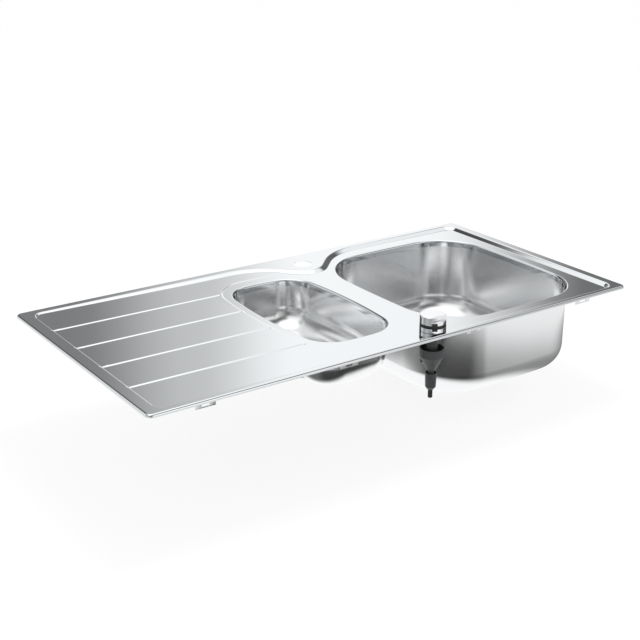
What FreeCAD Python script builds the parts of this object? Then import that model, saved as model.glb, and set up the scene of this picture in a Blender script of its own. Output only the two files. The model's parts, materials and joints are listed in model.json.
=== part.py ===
import FreeCAD, Part
import math
import os

# A drop-in kitchen sink: a pressed steel deck with a drainer on the left, a half bowl and a main bowl,
# a tap ledge at the back, a rotary knob for the remote waste, two strainer wastes and an overflow.
# Millimetres, +Z up, +Y to the wall. The origin is the sink's centre on the worktop's surface.

Vec = FreeCAD.Vector

# Overall sizes and the rim that lies on the worktop
overall_length = 1000.0
overall_width = 500.0
rim_height = 5.5
rim_flare = 4.0
rim_corner_radius = 10.0
sheet = 0.8
seat_gap = 0.3
overrun = 5.0

# The sunk deck inside the flat rim band
band_left = 20.0
band_right = 20.0
band_back = 18.0
band_front = 12.0
deck_depth = 5.0
slope_run = 10.0
front_slope_run = 7.0
recess_corner_radius = 22.0
recess_foot_corner_radius = 12.0
recess_edge_radius = 12.0

# The drainer, which falls to the bowls, and its pressed grooves
drainer_depth_left = 2.0
drainer_depth_right = 4.2
groove_spacing = 94.0
groove_count = 4
groove_width = 7.0
groove_depth = 1.5
groove_start_gap = 3.0
groove_end_gap = 5.0

# The lower terrace round the bowls
terrace_side_margin = 18.0
terrace_back_margin = 27.0
terrace_corner_radius = 74.0
terrace_bulge = 1000.0
terrace_step_run = 3.0

# The tap ledge and the tap hole
tap_side_offset = 21.5
tap_back_gap = 55.0
tap_hole_radius = 17.5
ledge_tip_radius = 39.0
ledge_sweep_radius = 134.0
ledge_flank_angle = 45.0

# The main bowl
main_right_gap = 53.5
main_front_gap = 44.5
main_back_gap = 58.5
main_length = 355.0
main_side_bulge = 2500.0
main_end_bulge = 2000.0
main_front_left_radius = 112.0
main_front_right_radius = 93.0
main_back_right_radius = 98.0
main_back_left_radius = 115.0
main_depth = 165.0
main_floor_radius = 45.0

# The half bowl
bowl_gap = 58.5
half_front_gap = 84.5
half_back_gap = 94.5
half_length = 175.0
half_side_bulge = 1000.0
half_end_bulge = 400.0
half_corner_radius = 55.0
half_depth = 99.0
half_floor_radius = 43.0

# The rolled lips that the bowls are welded to
lip_radius = 4.0
lip_drop = 17.5

# Clip brackets welded under the rim
bracket_width = 35.0
bracket_sheet = 1.0
bracket_inset = 12.0
bracket_foot = 22.0
bracket_bottom = 12.0
bracket_end_gap = 102.0
bracket_drainer_gap = 27.3
bracket_bowl_gap = 41.2
rear_bracket_shift = 140.0
window_length = 14.0
window_height = 4.0
window_bottom_margin = 2.0

# The foam seal under the rim
seal_width = 5.5
seal_height = 4.3
seal_edge_gap = 0.7

# Sound pads stuck under the bowl floors
pad_thickness = 2.5
pad_corner_radius = 15.0
main_pad_length = 220.0
main_pad_width = 260.0
main_pad_ring_gap = 4.0
half_pad_length = 80.0
half_pad_width = 55.0
half_pad_offset = 74.0

# The rotary knob on the deck
knob_side_offset = 27.0
knob_front_gap = 41.5
knob_radius = 23.0
knob_hole_radius = 11.0
knob_gasket_thickness = 0.5
knob_gasket_inset = 0.7
knob_base_height = 7.5
knob_gap = 0.3
knob_ring_height = 5.7
knob_ring_inset = 0.4
knob_cap_height = 13.7
knob_cap_inset = 0.2
knob_cap_bore_depth = 8.0
knob_edge_radius = 0.8
knob_index_angle = -122.0
knob_dot_angle = -141.0
knob_dot_radius = 0.9
knob_dot_height = 1.6
knob_dot_depth = 1.2
pointer_width = 9.5
pointer_reach = 1.3
pointer_root = 0.8
pointer_drop = 3.6
pointer_rise = 4.0
grip_angle = -93.5
grip_reach = 12.4
grip_radius = 64.0
grip_floor_height = 5.3
grip_floor_radius = 1.5

# The shank, the nut and the spindle below the knob
shank_radius = 9.8
shank_head_radius = 14.0
shank_head_height = 2.0
shank_length_below = 50.0
thread_clearance = 0.3
press_clearance = 0.05
running_clearance = 0.06
spindle_radius = 5.0
washer_thickness = 2.0
washer_radius = 19.0
nut_height = 8.0
nut_across_flats = 32.0
sleeve_gap = 1.5
sleeve_radius = 8.0
sleeve_side_gap = 0.5
sleeve_length = 19.0
sleeve_bore_radius = 5.3
sleeve_cap = 3.0
carrier_length = 30.0
carrier_engaged = 4.0
carrier_radius = 3.0

# The housing on the shank's end, its coupler and the cable's gland
housing_drop = 32.2
housing_radius = 21.6
housing_wall = 2.0
housing_straight = 15.0
housing_cone_height = 26.8
housing_cone_radius = 8.0
housing_socket_depth = 6.0
housing_neck_radius = 5.0
housing_neck_height = 13.7
housing_neck_bore = 3.4
housing_fin_angle = 142.0
housing_fin_count = 2
housing_fin_radius = 19.4
housing_fin_width = 6.0
housing_fin_height = 8.6
housing_rib_angle = -126.0
housing_rib_width = 1.6
housing_rib_drop = 6.0
housing_rib_height = 11.5
housing_rib_proud = 0.8
coupler_gap = 5.1
coupler_radius = 10.3
coupler_foot_radius = 9.4
coupler_height = 26.4
coupler_mouth_radius = 8.9
coupler_mouth_depth = 3.5
coupler_cone_height = 5.6
coupler_tip_radius = 5.2
cable_bore_radius = 2.2
gland_radius = 4.1
gland_length = 15.4
gland_chamfer = 0.8
gland_spigot_radius = 3.0
gland_spigot_length = 4.0

# Sizes that both wastes share
outlet_radius = 23.9
outlet_bore_radius = 20.0
rib_count = 3
rib_thickness = 3.0
screw_head_height = 2.1
basket_slot_width = 2.6
basket_slot_height = 5.0
basket_slot_foot = 1.5
basket_hole_radius = 1.7
basket_hole_step = 8.0
basket_grip_radius = 5.0
basket_grip_cap_height = 3.0
basket_grip_edge = 1.0

# The strainer waste of the main bowl
main_seat_depth = 4.0
main_seat_radius = 57.0
main_seat_slope = 3.0
main_waste_hole_radius = 46.0
main_flange_radius = 55.5
main_flange_sheet = 1.0
main_cup_radius = 43.0
main_cup_depth = 15.0
main_cup_cone_height = 5.0
main_cup_cone_run = 2.0
main_top_seal_thickness = 1.0
main_bottom_seal_thickness = 2.5
main_seal_clearance = 0.5
main_body_flange_radius = 54.0
main_body_flange_height = 3.0
main_pot_radius = 48.0
main_pot_wall = 2.5
main_pot_depth = 50.0
main_pot_floor = 3.0
main_outlet_length = 16.0
main_boss_radius = 8.0
main_boss_height = 15.0
main_rib_height = 9.0
main_screw_radius = 4.0
main_screw_head_radius = 9.0
main_drain_hole_radius = 8.0
main_drain_hole_circle = 26.0
drain_hole_count = 6
main_basket_radius = 37.3
main_basket_sheet = 0.8
main_basket_rim_radius = 40.5
main_basket_drop = 0.4
main_basket_depth = 10.6
main_basket_boss_radius = 6.0
main_basket_slot_count = 20
main_basket_hole_rings = 3
main_basket_seal_height = 3.0
main_basket_grip_cap_radius = 10.0
main_basket_grip_height = 13.7

# The lever in the main waste that lifts its basket by a pin
lift_pin_radius = 2.5
lift_pin_proud = 0.4
lever_arm = 15.3
lever_swing = 15.0
lever_thickness = 4.0
lever_width = 7.0
lever_hub_radius = 4.5
lever_tail = 12.0
lever_tail_radius = 2.5
lever_pin_radius = 2.0
lever_pin_depth = 39.5
lever_lug_thickness = 3.5
cable_hook_radius = 1.2
waste_gland_radius = 6.0
waste_gland_length = 14.0
waste_gland_spigot_radius = 4.0
waste_gland_spigot_length = 3.5
waste_gland_seat_radius = 3.0
waste_gland_seat_depth = 1.0
overflow_spigot_radius = 9.0
overflow_spigot_bore = 7.0
overflow_spigot_reach = 65.0
overflow_spigot_depth = 33.0
overflow_spigot_angle = 150.0
spigot_collar_radius = 11.0
spigot_collar_height = 2.0

# The small strainer waste of the half bowl
half_seat_depth = 3.0
half_seat_radius = 37.0
half_seat_slope = 2.0
half_waste_hole_radius = 26.0
half_flange_radius = 35.5
half_flange_sheet = 0.8
half_cup_radius = 24.5
half_cup_depth = 11.8
half_cup_cone_height = 3.0
half_cup_cone_run = 1.0
half_top_seal_thickness = 0.8
half_bottom_seal_thickness = 2.0
half_seal_clearance = 0.5
half_body_flange_radius = 34.0
half_body_flange_height = 3.0
half_pot_radius = 28.0
half_pot_wall = 2.7
half_pot_depth = 21.0
half_pot_floor = 2.5
half_outlet_length = 11.0
half_boss_radius = 6.0
half_boss_height = 7.0
half_rib_height = 5.0
half_screw_radius = 3.0
half_screw_head_radius = 6.0
half_drain_hole_radius = 4.0
half_drain_hole_circle = 14.0
half_basket_radius = 20.5
half_basket_sheet = 0.7
half_basket_rim_radius = 22.0
half_basket_drop = 0.8
half_basket_depth = 7.0
half_basket_boss_radius = 4.0
half_basket_slot_count = 12
half_basket_slot_height = 3.0
half_basket_slot_foot = 1.0
half_basket_hole_rings = 1
half_basket_seal_height = 2.0
half_basket_grip_cap_radius = 7.0
half_basket_grip_height = 10.0

# The overflow in the main bowl's left wall
overflow_drop = 50.0
overflow_hole_radius = 22.0
rosette_radius = 30.0
rosette_thickness = 2.2
rosette_edge_radius = 1.0
rosette_hole_count = 8
rosette_hole_radius = 3.4
rosette_hole_circle = 17.0
overflow_gasket_radius = 29.0
overflow_gasket_clearance = 0.5
overflow_gasket_thickness = 2.0
elbow_flange_thickness = 3.0
elbow_radius = 24.0
elbow_wall = 2.0
elbow_depth = 17.0
elbow_spigot_radius = 9.0
elbow_spigot_bore = 7.0
elbow_spigot_length = 16.0
elbow_collar_gap = 0.5
elbow_boss_radius = 5.0
overflow_screw_radius = 2.5
overflow_screw_head_radius = 4.5
overflow_screw_head_height = 1.6
overflow_screw_length = 14.0

# Levels that follow from the sizes above
rim_top = rim_height
deck_top = rim_top - deck_depth
deck_under = deck_top - sheet
lip_bottom = rim_top - lip_drop
main_floor = rim_top - main_depth
half_floor = rim_top - half_depth
half_overall_length = overall_length / 2
half_overall_width = overall_width / 2
recess_left = -half_overall_length + band_left
recess_right = half_overall_length - band_right
recess_back = half_overall_width - band_back
recess_front = -half_overall_width + band_front
main_x = half_overall_length - main_right_gap - main_length / 2
main_y = (main_front_gap - main_back_gap) / 2
main_width = overall_width - main_front_gap - main_back_gap
wall_x = main_x - main_length / 2
half_x = wall_x - bowl_gap - half_length / 2
half_y = (half_front_gap - half_back_gap) / 2
half_width = overall_width - half_front_gap - half_back_gap
tap_x = wall_x - tap_side_offset
tap_y = half_overall_width - tap_back_gap
knob_x = wall_x - knob_side_offset
knob_y = knob_front_gap - half_overall_width
drainer_end_x = half_x - half_length / 2 - terrace_side_margin
base_bottom = deck_top + knob_gasket_thickness
base_top = base_bottom + knob_base_height
ring_bottom = base_top + knob_gap
ring_top = ring_bottom + knob_ring_height
cap_top = ring_top + knob_cap_height
shank_bottom = deck_under - shank_length_below
sleeve_top = shank_bottom - sleeve_gap
sleeve_bottom = sleeve_top - sleeve_length
housing_top = deck_under - housing_drop
cone_top = housing_top - housing_straight
cone_bottom = cone_top - housing_cone_height
neck_bottom = cone_bottom - housing_neck_height
coupler_top = cone_bottom - coupler_gap
coupler_foot = coupler_top - coupler_height
coupler_end = coupler_foot - coupler_cone_height
main_rim_under = main_floor - main_seat_depth + main_top_seal_thickness
main_rim_top = main_rim_under + main_flange_sheet
main_cup_bottom = main_rim_under - main_cup_depth
main_body_top = main_floor - main_seat_depth - sheet - main_bottom_seal_thickness
main_pot_bottom = main_floor - main_pot_depth
main_basket_rim = main_rim_top - main_basket_drop
main_screw_top = main_cup_bottom + main_flange_sheet + screw_head_height
half_rim_under = half_floor - half_seat_depth + half_top_seal_thickness
half_rim_top = half_rim_under + half_flange_sheet
half_cup_bottom = half_rim_under - half_cup_depth
half_body_top = half_floor - half_seat_depth - sheet - half_bottom_seal_thickness
half_pot_bottom = half_floor - half_pot_depth
half_basket_rim = half_rim_top - half_basket_drop
half_screw_top = half_cup_bottom + half_flange_sheet + screw_head_height
lever_x = main_x - lever_arm
lever_z = main_floor - lever_pin_depth
overflow_z = rim_top - overflow_drop
rosette_face = wall_x + seat_gap + rosette_thickness
elbow_face = wall_x - sheet - overflow_gasket_thickness


# Basic shapes

def line(start, end):
    return Part.LineSegment(start, end).toShape()


def arc(start, middle, end):
    return Part.Arc(start, middle, end).toShape()


def on_circle(centre, radius, angle):
    return centre + Vec(radius * math.cos(angle), radius * math.sin(angle), 0)


def arc_about(centre, radius, start_angle, end_angle):
    middle_angle = (start_angle + end_angle) / 2
    return arc(on_circle(centre, radius, start_angle), on_circle(centre, radius, middle_angle),
               on_circle(centre, radius, end_angle))


def disc(x, y, bottom, top, radius):
    return Part.makeCylinder(radius, top - bottom, Vec(x, y, bottom))


def tube(x, y, bottom, top, radius, bore):
    return disc(x, y, bottom, top, radius).cut(disc(x, y, bottom, top, bore))


def block(low_x, high_x, low_y, high_y, low_z, high_z):
    return Part.makeBox(high_x - low_x, high_y - low_y, high_z - low_z, Vec(low_x, low_y, low_z))


def overflow_rod(low_x, high_x, radius):
    """A cylinder along the overflow's own level axis."""
    return Part.makeCylinder(radius, high_x - low_x, Vec(low_x, main_y, overflow_z), Vec(1, 0, 0))


def turned(x, y, profile):
    """A solid of revolution about the vertical line through x, y, from points of radius and height."""
    points = [Vec(x + radius, y, height) for radius, height in profile]
    face = Part.Face(Part.makePolygon(points + [points[0]]))
    return face.revolve(Vec(x, y, 0), Vec(0, 0, 1), 360)


def rounded_box_wire(centre_x, centre_y, half_span_x, half_span_y, radius, z):
    edges = []
    quarter = math.pi / 2
    corners = [(1, -1, -quarter), (1, 1, 0), (-1, 1, quarter), (-1, -1, 2 * quarter)]
    for sign_x, sign_y, start in corners:
        centre = Vec(centre_x + sign_x * (half_span_x - radius), centre_y + sign_y * (half_span_y - radius), z)
        edges.append(arc_about(centre, radius, start, start + quarter))
    joined = []
    for index, edge in enumerate(edges):
        joined.append(edge)
        following = edges[(index + 1) % len(edges)]
        joined.append(line(edge.Vertexes[-1].Point, following.Vertexes[0].Point))
    return Part.Wire(joined)


def rounded_block(centre_x, centre_y, span_x, span_y, radius, bottom, top):
    wire = rounded_box_wire(centre_x, centre_y, span_x / 2, span_y / 2, radius, bottom)
    return Part.Face(wire).extrude(Vec(0, 0, top - bottom))


def ring_of(shape, count, x, y):
    """Copies of a shape, evenly spaced round the vertical line through x, y."""
    copies = []
    for index in range(count):
        copy = shape.copy()
        copy.rotate(Vec(x, y, 0), Vec(0, 0, 1), 360 * index / count)
        copies.append(copy)
    return copies


def round_edges(shape, radius, chosen):
    edges = [edge for edge in shape.Edges if chosen(edge)]
    return shape.makeFillet(radius, edges)


def at_level(edge, z, tolerance):
    return all(abs(vertex.Z - z) < tolerance for vertex in edge.Vertexes) and \
        abs(edge.BoundBox.ZMax - edge.BoundBox.ZMin) < tolerance


# Bowl outlines: bulged sides joined by tangent corner arcs

def corner_centre(right_centre, end_centre, side_radius, end_radius, corner):
    """Centre, in the first quadrant, of a corner arc that is tangent inside a side arc and an end arc."""
    reach_side = side_radius - corner
    reach_end = end_radius - corner
    across = end_centre - right_centre
    gap = across.Length
    along = (reach_side ** 2 - reach_end ** 2 + gap ** 2) / (2 * gap)
    height = math.sqrt(reach_side ** 2 - along ** 2)
    unit = across / gap
    foot = right_centre + unit * along
    choices = [foot + Vec(-unit.y, unit.x, 0) * height, foot - Vec(-unit.y, unit.x, 0) * height]
    return max(choices, key=lambda point: point.x + point.y)


def bulged_wire(x, y, z, length, width, side_bulge, end_bulge, corners, grow):
    """Closed outline; corners are the radii at front right, back right, back left and front left."""
    right_centre = Vec(length / 2 - side_bulge, 0, 0)
    end_centre = Vec(0, width / 2 - end_bulge, 0)
    origin = Vec(x, y, z)
    signs = [(1, -1), (1, 1), (-1, 1), (-1, -1)]
    corner_ends = []
    for (sign_x, sign_y), corner in zip(signs, corners):
        centre = corner_centre(right_centre, end_centre, side_bulge, end_bulge, corner)
        to_side = (centre - right_centre).normalize()
        to_end = (centre - end_centre).normalize()
        between = (to_side + to_end).normalize()
        reach = corner + grow
        side_point = centre + to_side * reach
        middle_point = centre + between * reach
        end_point = centre + to_end * reach
        flipped = [origin + Vec(sign_x * p.x, sign_y * p.y, 0) for p in (side_point, middle_point, end_point)]
        if sign_x * sign_y < 0:
            flipped.reverse()
        corner_ends.append(flipped)
    middles = [Vec(length / 2 + grow, 0, 0), Vec(0, width / 2 + grow, 0),
               Vec(-length / 2 - grow, 0, 0), Vec(0, -width / 2 - grow, 0)]
    edges = []
    for index in range(4):
        here = corner_ends[index]
        after = corner_ends[(index + 1) % 4]
        edges.append(arc(here[0], here[1], here[2]))
        edges.append(arc(here[2], origin + middles[index], after[0]))
    return Part.Wire(edges)


def main_wire(z, grow):
    corners = [main_front_right_radius, main_back_right_radius, main_back_left_radius, main_front_left_radius]
    return bulged_wire(main_x, main_y, z, main_length, main_width, main_side_bulge, main_end_bulge, corners, grow)


def half_wire(z, grow):
    return bulged_wire(half_x, half_y, z, half_length, half_width, half_side_bulge, half_end_bulge,
                       [half_corner_radius] * 4, grow)


def prism(wire, height):
    return Part.Face(wire).extrude(Vec(0, 0, height))


# The pressed deck

def recess_wire(inset_share, z):
    """The recess's outline: share 0 is the top of its slope, share 1 the foot."""
    inset = slope_run * inset_share
    left = recess_left + inset
    right = recess_right - inset
    back = recess_back - inset
    front = recess_front + front_slope_run * inset_share
    corner = recess_corner_radius + (recess_foot_corner_radius - recess_corner_radius) * inset_share
    flank = math.radians(ledge_flank_angle)
    quarter = math.pi / 2
    tip = ledge_tip_radius + inset
    sweep = ledge_sweep_radius - inset
    tip_centre = Vec(tap_x, tap_y, z)
    sweep_y = back - sweep
    tip_end = on_circle(tip_centre, tip, -quarter + flank)
    sweep_start_y = sweep_y + sweep * math.cos(flank)
    sweep_start_x = tip_end.x + (sweep_start_y - tip_end.y) / math.tan(flank)
    reach = sweep_start_x + sweep * math.sin(flank) - tap_x
    right_sweep = Vec(tap_x + reach, sweep_y, z)
    left_sweep = Vec(tap_x - reach, sweep_y, z)
    front_left = Vec(left + corner, front + corner, z)
    front_right = Vec(right - corner, front + corner, z)
    back_right = Vec(right - corner, back - corner, z)
    back_left = Vec(left + corner, back - corner, z)
    pieces = [
        arc_about(front_left, corner, -2 * quarter, -quarter),
        arc_about(front_right, corner, -quarter, 0),
        arc_about(back_right, corner, 0, quarter),
        arc_about(right_sweep, sweep, quarter, quarter + flank),
        arc_about(tip_centre, tip, -quarter + flank, -quarter - flank),
        arc_about(left_sweep, sweep, quarter - flank, quarter),
        arc_about(back_left, corner, quarter, 2 * quarter),
    ]
    edges = []
    for index, piece in enumerate(pieces):
        edges.append(piece)
        following = pieces[(index + 1) % len(pieces)]
        edges.append(line(piece.valueAt(piece.LastParameter), following.valueAt(following.FirstParameter)))
    return Part.Wire(edges)


def drainer_level(x):
    """Height of the drainer's falling surface at x."""
    share = (x - recess_left) / (drainer_end_x - recess_left)
    return rim_top - drainer_depth_left - (drainer_depth_right - drainer_depth_left) * share


def terrace_corner():
    """Centre of the terrace's back left corner."""
    y = half_y + half_width / 2 + terrace_back_margin - terrace_corner_radius
    reach = terrace_bulge - terrace_corner_radius
    return drainer_end_x + terrace_bulge - math.sqrt(reach ** 2 - (y - half_y) ** 2), y


def terrace_left(y):
    """X of the terrace's left side at y."""
    corner_x, corner_y = terrace_corner()
    if y > corner_y:
        return corner_x - math.sqrt(terrace_corner_radius ** 2 - (y - corner_y) ** 2)
    return drainer_end_x + terrace_bulge - math.sqrt(terrace_bulge ** 2 - (y - half_y) ** 2)


def terrace_wire(z, grow):
    """The lower terrace round the bowls, open past the deck's edges on the right, the front and the back."""
    far_right = half_overall_length + overrun
    far_back = half_overall_width + overrun
    far_front = -far_back
    radius = terrace_bulge + grow
    corner = terrace_corner_radius + grow
    side_centre = Vec(drainer_end_x + terrace_bulge, half_y, z)
    corner_point = Vec(*terrace_corner(), z)
    outward = (corner_point - side_centre).normalize()
    meet = corner_point + outward * corner
    meet_angle = math.atan2(outward.y, outward.x)
    front_angle = math.pi + math.asin((half_y - far_front) / radius)
    start = on_circle(side_centre, radius, front_angle)
    middle = on_circle(side_centre, radius, (front_angle + meet_angle) / 2)
    top = corner_point + Vec(0, corner, 0)
    corner_middle = on_circle(corner_point, corner, (meet_angle + math.pi / 2) / 2)
    turn = Vec(tap_x, top.y, z)
    edges = [
        arc(start, middle, meet),
        arc(meet, corner_middle, top),
        line(top, turn),
        line(turn, Vec(tap_x, far_back, z)),
        line(Vec(tap_x, far_back, z), Vec(far_right, far_back, z)),
        line(Vec(far_right, far_back, z), Vec(far_right, far_front, z)),
        line(Vec(far_right, far_front, z), start),
    ]
    return Part.Wire(edges)


def recess_cutter():
    """The space above the sunk deck: a sloped recess over a falling drainer and a level terrace."""
    bowl = Part.makeLoft([recess_wire(0, rim_top), recess_wire(1, deck_top)], True, True)
    far_x = half_overall_length + overrun
    far_y = half_overall_width + overrun
    level = rim_top - drainer_depth_right
    bottom = deck_top - overrun
    corners = [Vec(-far_x, -far_y, bottom), Vec(-far_x, -far_y, drainer_level(-far_x)),
               Vec(drainer_end_x, -far_y, level), Vec(far_x, -far_y, level), Vec(far_x, -far_y, bottom)]
    fill = Part.Face(Part.makePolygon(corners + [corners[0]])).extrude(Vec(0, 2 * far_y, 0))
    terrace = Part.makeLoft([terrace_wire(level, 0), terrace_wire(deck_top, -terrace_step_run)], True, True)
    below = prism(terrace_wire(deck_top, -terrace_step_run), -overrun)
    return bowl.cut(fill.cut(terrace.fuse(below)))


def groove_tools():
    """Round tools that press the drainer's grooves, each with a ball where it ends before the terrace."""
    tools = []
    radius = ((groove_width / 2) ** 2 + groove_depth ** 2) / (2 * groove_depth)
    start_x = recess_left + groove_start_gap
    for index in range(groove_count):
        y = (index - (groove_count - 1) / 2) * groove_spacing
        end_x = terrace_left(y) - groove_end_gap
        start = Vec(start_x, y, drainer_level(start_x) + radius - groove_depth)
        end = Vec(end_x, y, drainer_level(end_x) + radius - groove_depth)
        run = end - start
        rod = Part.makeCylinder(radius, run.Length, start, run)
        tools.append(rod.fuse(Part.makeSphere(radius, end)))
    return tools


def pressed_form(edge_inset, opening_grow):
    """The deck's upper surface as a block; the sheet is this block less a lower copy of itself."""
    top = rounded_box_wire(0, 0, half_overall_length - rim_flare - edge_inset,
                           half_overall_width - rim_flare - edge_inset, rim_corner_radius - rim_flare, rim_top)
    foot = rounded_box_wire(0, 0, half_overall_length - edge_inset, half_overall_width - edge_inset,
                            rim_corner_radius, 0)
    form = Part.makeLoft([top, foot], True, True)
    core = block(drainer_end_x - overrun, recess_right - slope_run, recess_front + front_slope_run,
                 recess_back - slope_run, lip_bottom, 0)
    form = form.fuse(core)
    form = form.cut(recess_cutter())
    form = form.makeFillet(recess_edge_radius, edges_along(form, recess_wire(0, rim_top)))
    for tool in groove_tools():
        form = form.cut(tool)
    for wire_of in (main_wire, half_wire):
        form = form.cut(prism(wire_of(lip_bottom - overrun, opening_grow), rim_top - lip_bottom + 2 * overrun))
    return form


def edges_along(shape, outline):
    """The level edges of a shape that follow an outline."""
    level = outline.BoundBox.ZMin
    close = sheet / 10
    chosen = []
    for edge in shape.Edges:
        middle = edge.valueAt((edge.FirstParameter + edge.LastParameter) / 2)
        if at_level(edge, level, close) and outline.distToShape(Part.Vertex(middle))[0] < close:
            chosen.append(edge)
    return chosen


def make_deck():
    upper = pressed_form(0, 0)
    lower = pressed_form(sheet / 2, sheet)
    for wire_of in (main_wire, half_wire):
        upper = upper.makeFillet(lip_radius, edges_along(upper, wire_of(deck_top, 0)))
        lower = lower.makeFillet(lip_radius - sheet, edges_along(lower, wire_of(deck_top, sheet)))
    lower.translate(Vec(0, 0, -sheet))
    deck = upper.cut(lower)
    deck = deck.cut(disc(tap_x, tap_y, deck_top, rim_top + overrun, tap_hole_radius))
    return deck.cut(disc(knob_x, knob_y, lip_bottom, rim_top, knob_hole_radius))


# The bowls, which are welded to the lips

def bowl_form(wire_of, floor, floor_radius, grow):
    """A bowl's surface as a solid, with its bottom edge rounded."""
    bottom = floor - grow
    form = prism(wire_of(bottom, grow), lip_bottom - bottom)
    return form.makeFillet(floor_radius + grow, edges_along(form, wire_of(bottom, grow)))


def seat_cone(x, y, floor, depth, radius, slope, grow):
    """The pressed seat round a waste hole, as a cone that goes down from the floor."""
    profile = [(0, floor + grow), (radius + slope + grow, floor + grow), (radius + slope + grow, floor - grow),
               (radius + grow, floor - depth - grow), (0, floor - depth - grow)]
    return turned(x, y, profile)


def make_bowl(wire_of, floor, floor_radius, seat, hole_radius):
    x, y, seat_depth, seat_radius, seat_slope = seat
    outer = bowl_form(wire_of, floor, floor_radius, sheet)
    inner = bowl_form(wire_of, floor, floor_radius, 0)
    outer = outer.fuse(seat_cone(x, y, floor, seat_depth, seat_radius, seat_slope, sheet))
    inner = inner.fuse(seat_cone(x, y, floor, seat_depth, seat_radius, seat_slope, 0))
    bowl = outer.cut(inner)
    return bowl.cut(disc(x, y, floor - seat_depth - overrun, floor, hole_radius))


def make_main_bowl():
    seat = (main_x, main_y, main_seat_depth, main_seat_radius, main_seat_slope)
    bowl = make_bowl(main_wire, main_floor, main_floor_radius, seat, main_waste_hole_radius)
    return bowl.cut(overflow_rod(wall_x - overrun, wall_x + overrun, overflow_hole_radius))


def make_half_bowl():
    seat = (half_x, half_y, half_seat_depth, half_seat_radius, half_seat_slope)
    return make_bowl(half_wire, half_floor, half_floor_radius, seat, half_waste_hole_radius)


def make_main_pad():
    top = main_floor - sheet
    bottom = top - pad_thickness
    pad = rounded_block(main_x, main_y, main_pad_length, main_pad_width, pad_corner_radius, bottom, top)
    clear = main_seat_radius + main_seat_slope + main_pad_ring_gap
    return pad.cut(disc(main_x, main_y, bottom, top, clear))


def make_half_pads():
    top = half_floor - sheet
    pads = []
    for y in (half_y - half_pad_offset, half_y + half_pad_offset):
        pads.append(rounded_block(half_x, y, half_pad_length, half_pad_width, pad_corner_radius,
                                  top - pad_thickness, top))
    return Part.makeCompound(pads)


# What lies under the rim

def underside(x, side):
    """Underside of the deck near its front edge (side 1) or its back edge (side -1)."""
    if x < drainer_end_x:
        return drainer_level(x) - sheet
    if side < 0 and x < tap_x:
        return drainer_level(drainer_end_x) - sheet
    return deck_under


def make_bracket(x, side):
    """A bent plate with a window; side is 1 at the front and -1 at the back."""
    low_x = x - bracket_width / 2
    high_x = x + bracket_width / 2
    top = min(underside(low_x, side), underside(high_x, side))
    low_y = bracket_inset - half_overall_width
    plate = block(low_x, high_x, low_y, low_y + bracket_sheet, -bracket_bottom, top)
    foot = block(low_x, high_x, low_y, low_y + bracket_foot, top - bracket_sheet, top)
    window_z = window_bottom_margin - bracket_bottom
    window = block(x - window_length / 2, x + window_length / 2, low_y, low_y + bracket_sheet,
                   window_z, window_z + window_height)
    bracket = plate.fuse(foot).cut(window)
    if side < 0:
        bracket = bracket.mirror(Vec(0, 0, 0), Vec(0, 1, 0))
    return bracket


def bracket_places():
    """X of the brackets: near the left end, by each bowl's left side and near the right end."""
    return [bracket_end_gap - half_overall_length, drainer_end_x + bracket_drainer_gap,
            wall_x + bracket_bowl_gap, half_overall_length - bracket_end_gap]


def make_front_brackets():
    return Part.makeCompound([make_bracket(x, 1) for x in bracket_places()])


def make_rear_brackets():
    """The back row, in which one bracket moves aside for the tap ledge."""
    places = bracket_places()
    places[-2] += rear_bracket_shift
    return Part.makeCompound([make_bracket(x, -1) for x in places])


def make_rim_seal():
    reach_x = half_overall_length - rim_flare - sheet - seal_edge_gap
    reach_y = half_overall_width - rim_flare - sheet - seal_edge_gap
    corner = rim_corner_radius - rim_flare
    outer = rounded_block(0, 0, 2 * reach_x, 2 * reach_y, corner, 0, seal_height)
    inner = rounded_block(0, 0, 2 * (reach_x - seal_width), 2 * (reach_y - seal_width), corner, 0, seal_height)
    return outer.cut(inner)


# The rotary knob

def knob_disc(bottom, top, radius):
    return disc(knob_x, knob_y, bottom, top, radius)


def knob_block(near, far, width, bottom, top, angle):
    """A block that points out from the knob's centre at an angle."""
    shape = block(knob_x + near, knob_x + far, knob_y - width / 2, knob_y + width / 2, bottom, top)
    shape.rotate(Vec(knob_x, knob_y, 0), Vec(0, 0, 1), angle)
    return shape


def make_knob_gasket():
    return tube(knob_x, knob_y, deck_top, base_bottom, knob_radius - knob_gasket_inset, knob_hole_radius)


def make_knob_base():
    base = knob_disc(base_bottom, base_top, knob_radius)
    base = round_edges(base, knob_edge_radius / 2, lambda edge: at_level(edge, base_top, knob_gap))
    base = base.cut(knob_disc(base_bottom, base_top, shank_radius + thread_clearance))
    base = base.cut(knob_disc(base_top - shank_head_height, base_top, shank_head_radius + thread_clearance))
    angle = math.radians(knob_dot_angle)
    outward = Vec(math.cos(angle), math.sin(angle), 0)
    centre = Vec(knob_x, knob_y, base_bottom + knob_dot_height)
    dot = Part.makeCylinder(knob_dot_radius, overrun, centre + outward * (knob_radius - knob_dot_depth), outward)
    return base.cut(dot)


def make_knob_ring():
    ring = tube(knob_x, knob_y, ring_bottom, ring_top, knob_radius - knob_ring_inset, spindle_radius + knob_gap)
    outer = knob_radius + pointer_reach
    tab = knob_block(knob_radius - pointer_root, outer, pointer_width, ring_bottom, ring_top + pointer_rise,
                     knob_index_angle)
    tab = tab.cut(knob_disc(ring_top, ring_top + pointer_rise, knob_radius + knob_gap))
    skirt = knob_block(knob_radius + knob_gap, outer, pointer_width, ring_bottom - pointer_drop, ring_bottom,
                       knob_index_angle)
    return ring.fuse(tab).fuse(skirt)


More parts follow.
